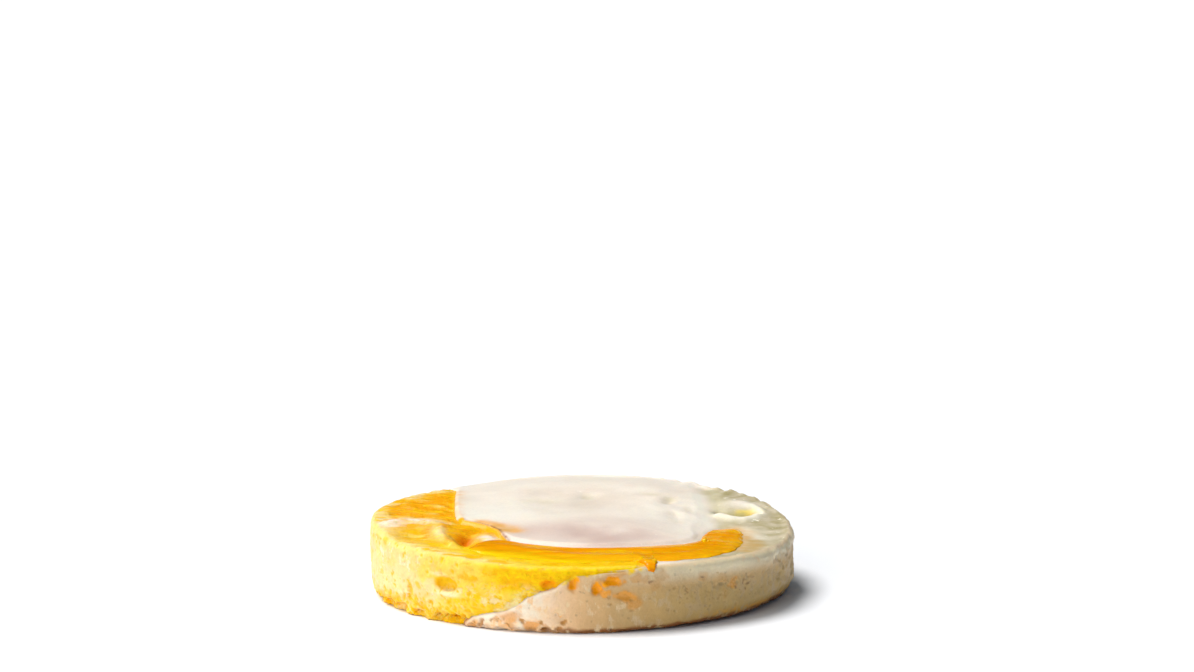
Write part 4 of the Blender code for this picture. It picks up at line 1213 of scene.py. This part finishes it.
# Stains of the yolk's wall: (angle, height, width, tall, strength)
YOLK_STAINS = (
    (231.5, 7.2, 4.4, 2.1, 1.0), (199.9, 6.1, 1.5, 1.2, 0.55), (203.5, 11.9, 1.7, 1.5, 0.75),
    (220.7, 5.9, 1.1, 0.9, 0.8), (214.9, 13.1, 1.4, 0.9, 0.7), (209.2, 2.2, 1.6, 1.5, 0.9),
    (217.3, 4.0, 1.0, 3.2, 0.9), (211.5, 1.6, 1.6, 1.3, 0.8), (221.9, 3.3, 1.4, 1.2, 0.9),
    (197.0, 12.2, 3.0, 0.8, 0.6), (206.0, 2.6, 1.3, 1.0, 0.7), (226.0, 1.2, 1.6, 0.9, 0.7),
    (240.0, 7.0, 1.4, 1.6, 0.5), (246.0, 5.2, 1.6, 1.4, 0.5),
)


def paint_band(mesh, share, across, c):
    """The colours of the runny yolk: deep orange along the cap, with painted shade at its very edge there,
    lighter towards the rim, pale at the end.
    """
    points = vectors(mesh, "co")
    paint = Paint(len(points), c.runny, 1.0)
    blur = cloud(points * (0.35, 1, 1), 500.0, 31.0, 3)
    lower = smoothstep(0.42, 0.85, across + 0.14 * blur)
    left = 1 - smoothstep(0.30, 0.52, share)
    paint.over(lower * (0.35 + 0.65 * left), c.runny_light, 0.95)
    paint.over(smoothstep(0.75, 0.95, across + 0.1 * blur) * left, c.yolk_bright, 0.9)
    paint.over(lower * (1 - left) * 0.8, c.runny_low, 0.7)
    # Painted shade: a darker line along the band's inner edge, which the cap's edge shades
    paint.over(1 - smoothstep(0.02, 0.10, across), c.runny_deep_and_shade, 0.6)
    paint.flecked(np.ones(len(points)), c.runny_light, 0.34)
    paint.over(smoothstep(0.94, 1.0, share + 0.02 * blur), c.runny_end, 0.8)
    drip = 1 - smoothstep(0.5, 1.2, np.abs(share - DRIP_PLACE) / DRIP_HALF_WIDTH)
    # The deeper colour of the drip's thick tip
    paint.over(drip * smoothstep(0.86, 0.98, across), c.runny_deep_and_shade, 0.9)
    return paint


class Nodes:
    """A node tree, filled by short calls that each give back a socket."""

    def __init__(self, tree):
        self.tree = tree

    def add(self, kind, inputs=(), **settings):
        """Adds a node, sets it and fills its sockets: a value, or another node's output to link."""
        node = self.tree.nodes.new(kind)
        for name, value in settings.items():
            setattr(node, name, value)
        for name, value in dict(inputs).items():
            if isinstance(value, bpy.types.NodeSocket):
                self.tree.links.new(value, node.inputs[name])
            else:
                node.inputs[name].default_value = value
        return node.outputs

    def place(self, kind="Object"):
        """Where the point lies on its object."""
        return self.add("ShaderNodeTexCoord")[kind]

    def layer(self, name, part="Fac"):
        """One of a piece's painted layers."""
        return self.add("ShaderNodeAttribute", attribute_name=name)[part]

    def noise(self, place, waves, detail, roughness=0.55):
        """Soft noise with so many waves to the metre."""
        inputs = {"Vector": place, "Scale": waves, "Detail": detail, "Roughness": roughness}
        return self.add("ShaderNodeTexNoise", inputs)["Fac"]

    def maths(self, operation, *values):
        """A sum, product or the like of numbers."""
        return self.add("ShaderNodeMath", dict(enumerate(values)), operation=operation)[0]

    def vector(self, operation, *values):
        """A sum, product or the like of vectors and colours."""
        return self.add("ShaderNodeVectorMath", dict(enumerate(values)), operation=operation)[0]

    def remap(self, value, low, high, to_low, to_high):
        """Maps one range to another, clamped."""
        inputs = {"Value": value, "From Min": low, "From Max": high, "To Min": to_low, "To Max": to_high}
        return self.add("ShaderNodeMapRange", inputs, clamp=True)["Result"]

    def spread(self, noise, low, high):
        """Noise, whose values mostly lie between 0.3 and 0.7, spread from low to high."""
        return self.remap(noise, 0.3, 0.7, low, high)


def food_material(name, look):
    """A moist food: painted colour, mottled and grained by noise, with pores, gloss and light inside."""
    material = bpy.data.materials.new(name)
    material.use_nodes = True
    material.node_tree.nodes.clear()
    nodes = Nodes(material.node_tree)
    place = nodes.place()
    tint = nodes.layer("tint", "Color")
    rough_part = nodes.layer("rough")
    mottle = nodes.noise(place, look["mottle"], 3.0)
    grain = nodes.noise(place, look["grain"], 4.0, 0.65)
    shade = nodes.spread(mottle, 1 - look["mottling"], 1 + look["mottling"])
    shade = nodes.maths("MULTIPLY", shade, nodes.spread(grain, 1 - look["graining"], 1 + look["graining"]))
    cells = nodes.add("ShaderNodeTexVoronoi", {"Vector": place, "Scale": look["pores"]})
    pore = nodes.remap(cells["Distance"], 0.12, 0.34, 1.0, 0.0)
    chosen = nodes.add("ShaderNodeSeparateColor", {"Color": cells["Color"]})[0]
    some = nodes.remap(chosen, look["pore_rare"], look["pore_rare"] + 0.1, 0.0, 1.0)
    pore = nodes.maths("MULTIPLY", pore, some)
    pore = nodes.maths("MULTIPLY", pore, rough_part)
    shade = nodes.maths("SUBTRACT", shade, nodes.maths("MULTIPLY", pore, look["pore_dark"]))
    specks = nodes.noise(nodes.vector("MULTIPLY", place, look["stretch"]), look["fleck"], 4.0, 0.62)
    wanted = nodes.maths("MULTIPLY", nodes.layer("flecks"), 0.5)
    flecked = nodes.remap(nodes.maths("ADD", specks, wanted), 0.68, 0.78, 0.0, 1.0)
    other = nodes.vector("SUBTRACT", nodes.layer("fleck", "Color"), tint)
    colour = nodes.vector("MULTIPLY", nodes.vector("MULTIPLY_ADD", other, flecked, tint), shade)
    height = nodes.maths("MULTIPLY", grain, look["grain_height"])
    height = nodes.maths("ADD", height, nodes.maths("MULTIPLY", mottle, look["mottle_height"]))
    height = nodes.maths("MULTIPLY", height, nodes.maths("ADD", rough_part, look["smooth_relief"]))
    height = nodes.maths("SUBTRACT", height, nodes.maths("MULTIPLY", pore, look["pore_height"]))
    height = nodes.maths("SUBTRACT", height, nodes.maths("MULTIPLY", flecked, look["fleck_height"]))
    bump = nodes.add("ShaderNodeBump", {"Height": height, "Strength": 1.0, "Distance": BUMP_DISTANCE})
    gloss = nodes.remap(nodes.layer("wet"), 0.0, 1.0, look["dry"], look["wet"])
    gloss = nodes.maths("ADD", gloss, nodes.spread(grain, -0.06, 0.06))
    inputs = {
        "Base Color": colour,
        "Roughness": gloss,
        "Normal": bump["Normal"],
        "IOR": FOOD_IOR,
        "Specular IOR Level": look["shine"],
        "Subsurface Weight": look["inside"],
        "Subsurface Radius": look["inside_radius"],
        "Subsurface Scale": look["inside_scale"],
        "Coat Weight": look["coat"],
        "Coat Roughness": look["coat_roughness"],
    }
    shader = nodes.add("ShaderNodeBsdfPrincipled", inputs)
    nodes.add("ShaderNodeOutputMaterial", {"Surface": shader[0]})
    return material


# How a material looks. Noise and pores are in waves to the metre, and heights are shares of BUMP_DISTANCE,
# in metres. "inside" is how much light goes through, with its reach in red, green and blue, and "dry" and
# "wet" are roughnesses
BUMP_DISTANCE = 0.001
FOOD_IOR = 1.38
WHITE_LOOK = {
    "fleck": 650.0,
    "stretch": (1.0, 1.0, 0.6),
    "fleck_height": 0.03,
    "mottle": 170.0,
    "mottling": 0.035,
    "grain": 2400.0,
    "graining": 0.05,
    "pores": 1100.0,
    "pore_rare": 0.78,
    "pore_dark": 0.16,
    "pore_height": 0.05,
    "grain_height": 0.05,
    "mottle_height": 0.08,
    "smooth_relief": 0.10,
    "dry": 0.55,
    "wet": 0.26,
    "inside": 0.45,
    "inside_radius": (1.0, 0.8, 0.55),
    "inside_scale": 0.0006,
    "shine": 0.4,
    "coat": 0.06,
    "coat_roughness": 0.25,
}
YOLK_LOOK = {
    **WHITE_LOOK,
    "fleck": 480.0,
    "stretch": (0.5, 1.0, 1.0),
    "fleck_height": 0.10,
    "mottle": 260.0,
    "mottling": 0.05,
    "grain": 2000.0,
    "graining": 0.08,
    "pores": 950.0,
    "pore_rare": 0.62,
    "pore_dark": 0.10,
    "pore_height": 0.08,
    "grain_height": 0.09,
    "inside": 0.45,
    "inside_radius": (1.0, 0.5, 0.1),
    "inside_scale": 0.0010,
    "shine": 0.14,
    "coat": 0.0,
}
BAND_LOOK = {
    **WHITE_LOOK,
    "fleck": 420.0,
    "stretch": (0.18, 1.0, 1.0),
    "fleck_height": 0.04,
    "mottle": 300.0,
    "mottling": 0.03,
    "grain": 1500.0,
    "graining": 0.03,
    "pore_dark": 0.0,
    "pore_height": 0.0,
    "grain_height": 0.012,
    "mottle_height": 0.05,
    "smooth_relief": 0.6,
    "wet": 0.16,
    "inside": 0.4,
    "inside_radius": (1.0, 0.4, 0.05),
    "inside_scale": 0.0008,
    "shine": 0.12,
    "coat": 0.10,
    "coat_roughness": 0.05,
}


def size(name, default, description, low=0.0, unit="LENGTH"):
    """A size that a user may change."""
    settings = {"name": name, "default": default, "description": description}
    return FloatProperty(min=low, unit=unit, precision=5, **settings)


def light_strength(name, default, description):
    """A light's strength that a user may change."""
    return FloatProperty(name=name, default=default, min=0.0, description=description)


def colour(name, red, green, blue, description):
    """A colour as the screen shows it, from 0 to 255 in each part."""
    default = (red / 255, green / 255, blue / 255)
    return FloatVectorProperty(
        name=name, default=default, description=description, subtype="COLOR_GAMMA", min=0.0, max=1.0
    )


class EggSizes(bpy.types.PropertyGroup):
    """Sizes of the fine relief and of the stage."""

    columns: IntProperty(name="Columns", default=800, min=60, description="Columns of the skin all round")
    lip_height: size("Lip height", 0.00016, "How far the white's edge swells where it meets the yolk")
    lip_dive: size("Lip dive", 0.00042, "How far the white's edge falls where it meets the yolk")
    bubble: size("Bubble", 0.0011, "Diameter of the largest bubble in the runny yolk")
    overlap: size("Overlap", 0.0003, "How far the set yolk runs on under the white's edge")
    floor: size("Floor", 8.0, "Width of the floor")
    camera_distance: size("Camera distance", 0.7, "From the middle of the underside to the camera")
    camera_tilt: FloatProperty(
        name="Camera tilt",
        default=math.radians(12),
        subtype="ANGLE",
        description="Camera angle above the floor",
    )
    lens: FloatProperty(name="Lens", default=114.0, min=10.0, description="Focal length in millimetres")
    key_light: light_strength("Key light", 3.05, "Strength of the light at the left")
    back_light: light_strength("Back light", 0.2, "Strength of the light behind")
    fill_light: light_strength("Fill light", 1.6, "Strength of the low light in front")
    room_light: light_strength("Room light", 0.17, "Strength of the light all round")


class EggColours(bpy.types.PropertyGroup):
    """Colours of the white, the set yolk, the runny yolk and the floor."""

    cap: colour("Cap", 252, 238, 221, "Smooth white of the cap")
    # Painted light: the palest white, laid where the cap and its fold are lit
    cap_painted_light: colour("Cap, bright", 254, 243, 226, "Thickest, palest white")
    # Painted shade: a greyer white on the back and the middle of the cap
    cap_shade: colour("Cap, back", 231, 216, 197, "Thinner white at the back of the cap")
    cap_pink: colour("Cap, pink", 209, 181, 168, "White over the hidden yolk")
    # Painted shade: the olive tint laid in the dimples, the valley and beside the slit, where hollows are
    # shaded
    hollow_shade: colour("Olive", 198, 188, 142, "Thin white in hollows")
    slit: colour("Slit", 234, 208, 98, "Inside the slit at the right")
    fold_lip: colour("Fold lip", 246, 238, 216, "The lip round the slit")
    right_top: colour("Right side", 156, 143, 89, "Thin, dull white at the right of the top")
    peach: colour("Peach", 246, 186, 110, "White stained by yolk")
    # Partly the wall's milky edge, partly painted light along the rim at the right
    wall_top_milky_and_lit: colour("Wall, top", 236, 222, 186, "Top of the wall at the right")
    tan: colour("Tan", 226, 172, 92, "White under the thin end of the runny yolk")
    crease: colour("Crease", 140, 84, 36, "Brown line in a crease")
    wall_white: colour("Wall, pale", 255, 240, 218, "Wall of the white at the front left")
    wall_warm: colour("Wall, warm", 250, 206, 156, "Wall of the white at the front")
    wall_tan: colour("Wall, tan", 214, 174, 120, "Wall of the white further round")
    wall_shade: colour("Wall, shade", 190, 160, 110, "Darker mottling of the wall")
    wall_pale: colour("Wall, pale flecks", 234, 208, 164, "Pale flecks of the wall")
    # Partly the wall's own tan, partly painted shade where the wall faces away from the light
    wall_dark_and_shade: colour("Wall, right", 190, 158, 94, "Dullest part of the wall, at the right")
    wall_pore: colour("Wall pore", 176, 138, 84, "Inside the pores of the wall")
    stain_orange: colour("Orange stain", 255, 168, 0, "Yolk that shows in holes of the white")
    stain_edge: colour("Stain edge", 196, 134, 48, "Rim of the stains and tinted pores")
    speck: colour("Speck", 118, 76, 40, "Burnt specks")
    browned: colour("Browned", 190, 128, 58, "Browned lower edge")
    glow: colour("Glow", 224, 160, 40, "Yellow tint above the lower edge at the right")
    dark_edge: colour("Dark edge", 140, 78, 26, "Darkest line of the lower edge")
    underside: colour("Underside", 196, 150, 92, "Underside of the white")
    underside_yolk: colour("Underside of the yolk", 226, 168, 60, "Underside of the yolk")
    yolk_pale: colour("Yolk, pale", 253, 222, 156, "Palest set yolk")
    # Also the painted highlight on the raised lower lip of the wall's hole
    yolk_cream_and_highlight: colour("Yolk, cream", 255, 236, 196, "Palest flecks and rims of pores")
    yolk_stain: colour("Yolk, stain", 253, 200, 24, "Inside the pores and hollows of the yolk")
    tongue: colour("Tongue", 255, 182, 0, "Bright orange between the pit and the cap")
    yolk_yellow: colour("Yolk, yellow", 255, 216, 98, "Yellow set yolk")
    yolk_bright: colour("Yolk, bright", 255, 208, 2, "Bright yolk at the front")
    yolk_deep: colour("Yolk, deep", 254, 190, 4, "Deep yellow yolk")
    yolk_orange: colour("Yolk, orange", 250, 166, 0, "Orange yolk")
    pit: colour("Pit", 232, 130, 0, "Inside the pit")
    red_spot: colour("Red spot", 255, 158, 6, "Reddest spot on the front wall")
    streak: colour("Streak", 253, 230, 206, "Streaks of white in the yolk")
    runny: colour("Runny yolk", 254, 160, 0, "Runny yolk")
    runny_light: colour("Runny yolk, light", 255, 188, 4, "Runny yolk where it is thin")
    runny_low: colour("Runny yolk, low", 246, 170, 10, "Runny yolk along the right part of the rim")
    # Painted shade along the band's edge under the cap, and the deeper colour of the drip's thick tip
    runny_deep_and_shade: colour("Runny yolk, deep", 243, 136, 0, "Runny yolk where it is deep")
    runny_end: colour("Runny yolk, end", 226, 186, 120, "Soft right end of the runny yolk")
    floor: colour("Floor", 249, 250, 252, "The surface that the egg lies on")


# Seeds of the pores' places
WHITE_PORE_SEED = 41
YOLK_PORE_SEED = 17
# The band's grid, and how far its body stands over the skin and reaches under it at its edge, in
# millimetres. Its hollow in the other pieces is open upwards and a little shallower, so that they touch
BAND_COLUMNS = 420
BODY_STRIPS = 40
BODY_OVER = 0.02
BODY_UNDER = 0.10
ROOM_STRIPS = 12
ROOM_OVER = 0.3
ROOM_UNDER = -0.15


def skin_piece(name, sizes, pores, relief, block, operation):
    """A skin with its relief, cut by the yolk's block and the band's hollow, where its vertices then lie,
    and how much of a pore and of a pore's rim each one is."""
    obj = rolled_skin(name, sizes.columns)
    start = vectors(obj.data, "co")
    skin = Skin(start)
    lift = relief(skin, sizes, pore_mask(skin, pores)[0]) * MM
    moved = start + vectors(obj.data, "normal") * lift[:, None]
    moved[:, 2] = np.maximum(moved[:, 2], 0.0)
    obj.data.vertices.foreach_set("co", moved.ravel())
    obj.data.update()
    cut(obj, yolk_block(*block), operation)
    room = band_body(BAND_COLUMNS, ROOM_STRIPS, ROOM_OVER * MM, ROOM_UNDER * MM)
    cut(obj, new_object("band_room", room), "DIFFERENCE")
    skin = Skin(vectors(obj.data, "co"))
    return obj, skin, pore_mask(skin, pores)[1:]


class EGG_OT_cooked_white(bpy.types.Operator):
    """Build the white: the skin with the yolk's block and the band's hollow cut out"""

    bl_idname = "egg.cooked_white"
    bl_label = "Cooked white"

    def execute(self, context):
        sizes, colours = context.scene.egg_sizes, context.scene.egg_colours
        pores = scattered(WHITE_PORES, WHITE_PORE_SEED)
        block = ("yolk_room", 0.0)
        obj, skin, holes = skin_piece("cooked_white", sizes, pores, white_relief, block, "DIFFERENCE")
        rough_top = 0.25 * (1 - smoothstep(-0.5, 1.5, skin.in_cap))
        paint_white(skin, colours, *holes).store(obj.data, rough=np.maximum(skin.wall, rough_top))
        finish_piece(obj, "egg_white", "cooked_white", WHITE_LOOK)
        return {"FINISHED"}


class EGG_OT_set_yolk(bpy.types.Operator):
    """Build the set yolk: the part of the skin inside the yolk's block, without the band's hollow"""

    bl_idname = "egg.set_yolk"
    bl_label = "Set yolk"

    def execute(self, context):
        sizes, colours = context.scene.egg_sizes, context.scene.egg_colours
        pores = scattered(YOLK_PORES, YOLK_PORE_SEED)
        block = ("yolk_block", sizes.overlap)
        obj, skin, holes = skin_piece("set_yolk", sizes, pores, yolk_relief, block, "INTERSECT")
        paint_yolk(skin, colours, *holes).store(obj.data, rough=np.maximum(0.7, skin.wall))
        finish_piece(obj, "yolk", "set_yolk", YOLK_LOOK)
        return {"FINISHED"}


# Bubbles in the runny yolk: (share of its length, share of its width, size), and whose colour they take
BUBBLES = (
    (0.455, 0.62, 0.55),
    (0.470, 0.80, 0.65),
    (0.492, 0.90, 1.0),
    (0.690, 0.18, 0.9),
    (0.672, 0.22, 0.5),
    (0.705, 0.30, 0.4),
)
BUBBLE_TINT = (0.3, 0.8)
# How deep the bubbles sit, as a share of their radius, and their mesh
BUBBLE_DEPTH = 0.3
BUBBLE_MESH = {"u_segments": 20, "v_segments": 12}


def band_ripple(point, share, across):
    """Long low ripples that follow the band."""
    wave = np.sin(2 * math.pi * (2.2 * across + 0.35 * np.sin(9 * share)))
    return (0.05 * wave + 0.06 * cloud(point * (0.4, 1, 1), 420.0, 33.0, 2)) * MM


class EGG_OT_runny_yolk(bpy.types.Operator):
    """Build the band of runny yolk, with its drip and its bubbles"""

    bl_idname = "egg.runny_yolk"
    bl_label = "Runny yolk"

    def execute(self, context):
        sizes, colours = context.scene.egg_sizes, context.scene.egg_colours
        bm = band_body(BAND_COLUMNS, BODY_STRIPS, BODY_OVER * MM, BODY_UNDER * MM, band_ripple)
        along, wide = (bm.verts.layers.float[name] for name in ("along", "across"))
        for share, across, scale in BUBBLES:
            inner, outer, _ = band_edges(np.array([share]))
            plan = inner[0] + (outer[0] - inner[0]) * across
            angle, reach = np.degrees(np.arctan2(plan[1], plan[0])), np.hypot(*plan)
            at = skin_point(np.array([angle]), np.array([reach]))[0]
            normal = skin_normal(plan[:1], plan[1:])[0]
            radius = scale * sizes.bubble / 2
            centre = Vector(at + normal * (BAND_MENISCUS - BUBBLE_DEPTH * radius))
            place = Matrix.Translation(centre)
            made = bmesh.ops.create_uvsphere(bm, radius=radius, matrix=place, **BUBBLE_MESH)
            for vertex in made["verts"]:
                vertex[along], vertex[wide] = BUBBLE_TINT
        obj = new_object("runny_yolk_band", bm)
        mesh = obj.data
        layers = [np.empty(len(mesh.vertices)) for _ in range(2)]
        for name, values in zip(("along", "across"), layers):
            mesh.attributes[name].data.foreach_get("value", values)
        paint_band(mesh, *layers, colours).store(mesh, rough=np.full(len(mesh.vertices), 0.2))
        finish_piece(obj, "runny_yolk", "runny_yolk", BAND_LOOK, BAND_SHARPNESS)
        return {"FINISHED"}


# The camera is aimed for a picture of 1194 x 672 pixels, in which the middle of the underside shows at this
# pixel
PICTURE = (1194, 672)
AIM = (582.0, 588.0)
SENSOR = 36.0
CLIP = (0.01, 50.0)


def add_camera(sizes):
    """The camera at the photograph's viewing angle."""
    data = bpy.data.cameras.new("camera")
    data.lens = sizes.lens
    data.sensor_width = SENSOR
    data.clip_start, data.clip_end = CLIP
    camera = bpy.data.objects.new("camera", data)
    tilt = sizes.camera_tilt
    place = Vector((0.0, -math.cos(tilt), math.sin(tilt))) * sizes.camera_distance
    focal = sizes.lens / SENSOR * PICTURE[0]
    pitch = math.atan((AIM[1] - PICTURE[1] / 2) / focal)
    yaw = math.atan((AIM[0] - PICTURE[0] / 2) / focal)
    look = Matrix.Rotation(math.pi / 2 - tilt + pitch, 4, "X") @ Matrix.Rotation(yaw, 4, "Y")
    camera.matrix_world = Matrix.Translation(place) @ look
    bpy.context.scene.collection.objects.link(camera)
    bpy.context.scene.camera = camera


# The far lights: (name, spread, angle round the egg, tilt above the floor, colour)
LIGHTS = (
    ("key_light", 32.0, 166.0, 68.0, (1.0, 0.98, 0.96)),
    ("fill_light", 60.0, 228.0, 18.0, (1.0, 0.98, 0.95)),
    ("back_light", 5.0, 108.0, 36.0, (1.0, 1.0, 1.0)),
)
# The room's light, and the directions, back and up, between which it goes dark, and how dark
ROOM_COLOUR = (0.48, 0.71, 1.0, 1.0)
DARK_BACK = (0.1, 0.6)
DARK_UP = (0.35, 0.75)
DARKENING = 0.95
# The floor: how far it lies under the egg's base, its mottling in waves to the metre, its roughness, its shine
FLOOR_DROP = 0.02 * MM
FLOOR_WAVES = 40.0
FLOOR_ROUGHNESS = 0.7
FLOOR_SHINE = 0.2


def add_sun(strength, name, spread, angle, tilt, light_colour):
    """A soft far light that comes from an angle round the egg, at a tilt above the floor."""
    data = bpy.data.lights.new(name, "SUN")
    data.energy = strength
    data.angle = math.radians(spread)
    data.color = light_colour
    lamp = bpy.data.objects.new(name, data)
    a, t = math.radians(angle), math.radians(tilt)
    towards = Vector((math.cos(a) * math.cos(t), math.sin(a) * math.cos(t), math.sin(t)))
    lamp.rotation_euler = towards.to_track_quat("Z", "Y").to_euler()
    bpy.context.scene.collection.objects.link(lamp)


def add_floor(width, tone):
    """The surface that the egg lies on, just under its base."""
    bm = bmesh.new()
    bmesh.ops.create_grid(bm, x_segments=2, y_segments=2, size=width / 2)
    bmesh.ops.translate(bm, verts=bm.verts, vec=(0.0, 0.0, -FLOOR_DROP))
    floor = new_object("floor", bm)
    material = bpy.data.materials.new("floor")
    material.use_nodes = True
    shader = material.node_tree.nodes["Principled BSDF"]
    nodes = Nodes(material.node_tree)
    shade = nodes.spread(nodes.noise(nodes.place(), FLOOR_WAVES, 2.0), 0.99, 1.0)
    material.node_tree.links.new(nodes.vector("MULTIPLY", linear(tone), shade), shader.inputs["Base Color"])
    shader.inputs["Roughness"].default_value = FLOOR_ROUGHNESS
    shader.inputs["Specular IOR Level"].default_value = FLOOR_SHINE
    floor.data.materials.append(material)


def light_room(scene, strength):
    """The room's bluish light, which is dark low down behind the egg."""
    world = bpy.data.worlds.new("room")
    scene.world = world
    world.use_nodes = True
    background = world.node_tree.nodes["Background"]
    background.inputs["Color"].default_value = ROOM_COLOUR
    nodes = Nodes(world.node_tree)
    ways = nodes.add("ShaderNodeSeparateXYZ", {"Vector": nodes.place("Generated")})
    low = nodes.remap(ways["Z"], *DARK_UP, 1.0, 0.0)
    behind = nodes.maths("MULTIPLY", nodes.remap(ways["Y"], *DARK_BACK, 0.0, DARKENING), low)
    lit = nodes.maths("MULTIPLY", nodes.maths("SUBTRACT", 1.0, behind), strength)
    world.node_tree.links.new(lit, background.inputs["Strength"])


class EGG_OT_stage(bpy.types.Operator):
    """Build the floor, the lights, the room's light and the camera"""

    bl_idname = "egg.stage"
    bl_label = "Stage"

    def execute(self, context):
        sizes = context.scene.egg_sizes
        add_floor(sizes.floor, context.scene.egg_colours.floor)
        light_room(context.scene, sizes.room_light)
        for name, *rest in LIGHTS:
            add_sun(getattr(sizes, name), name, *rest)
        add_camera(sizes)
        context.scene.view_settings.view_transform = "Standard"
        return {"FINISHED"}


class EGG_PT_panel(bpy.types.Panel):
    """The egg's pieces, sizes and colours"""

    bl_label = "Fried egg"
    bl_idname = "EGG_PT_panel"
    bl_space_type = "VIEW_3D"
    bl_region_type = "UI"
    bl_category = "Egg"

    def draw(self, context):
        for operator in OPERATORS:
            self.layout.operator(operator.bl_idname)
        for group in (context.scene.egg_sizes, context.scene.egg_colours):
            box = self.layout.box()
            for name in group.__annotations__:
                box.prop(group, name)


OPERATORS = (EGG_OT_cooked_white, EGG_OT_set_yolk, EGG_OT_runny_yolk, EGG_OT_stage)
CLASSES = (EggSizes, EggColours, *OPERATORS, EGG_PT_panel)


def register():
    for cls in CLASSES:
        bpy.utils.register_class(cls)
    bpy.types.Scene.egg_sizes = PointerProperty(type=EggSizes)
    bpy.types.Scene.egg_colours = PointerProperty(type=EggColours)


def unregister():
    del bpy.types.Scene.egg_colours
    del bpy.types.Scene.egg_sizes
    for cls in reversed(CLASSES):
        bpy.utils.unregister_class(cls)


def main():
    register()
    bpy.ops.egg.cooked_white()
    bpy.ops.egg.set_yolk()
    bpy.ops.egg.runny_yolk()
    bpy.ops.egg.stage()


if __name__ == "__main__":
    main()
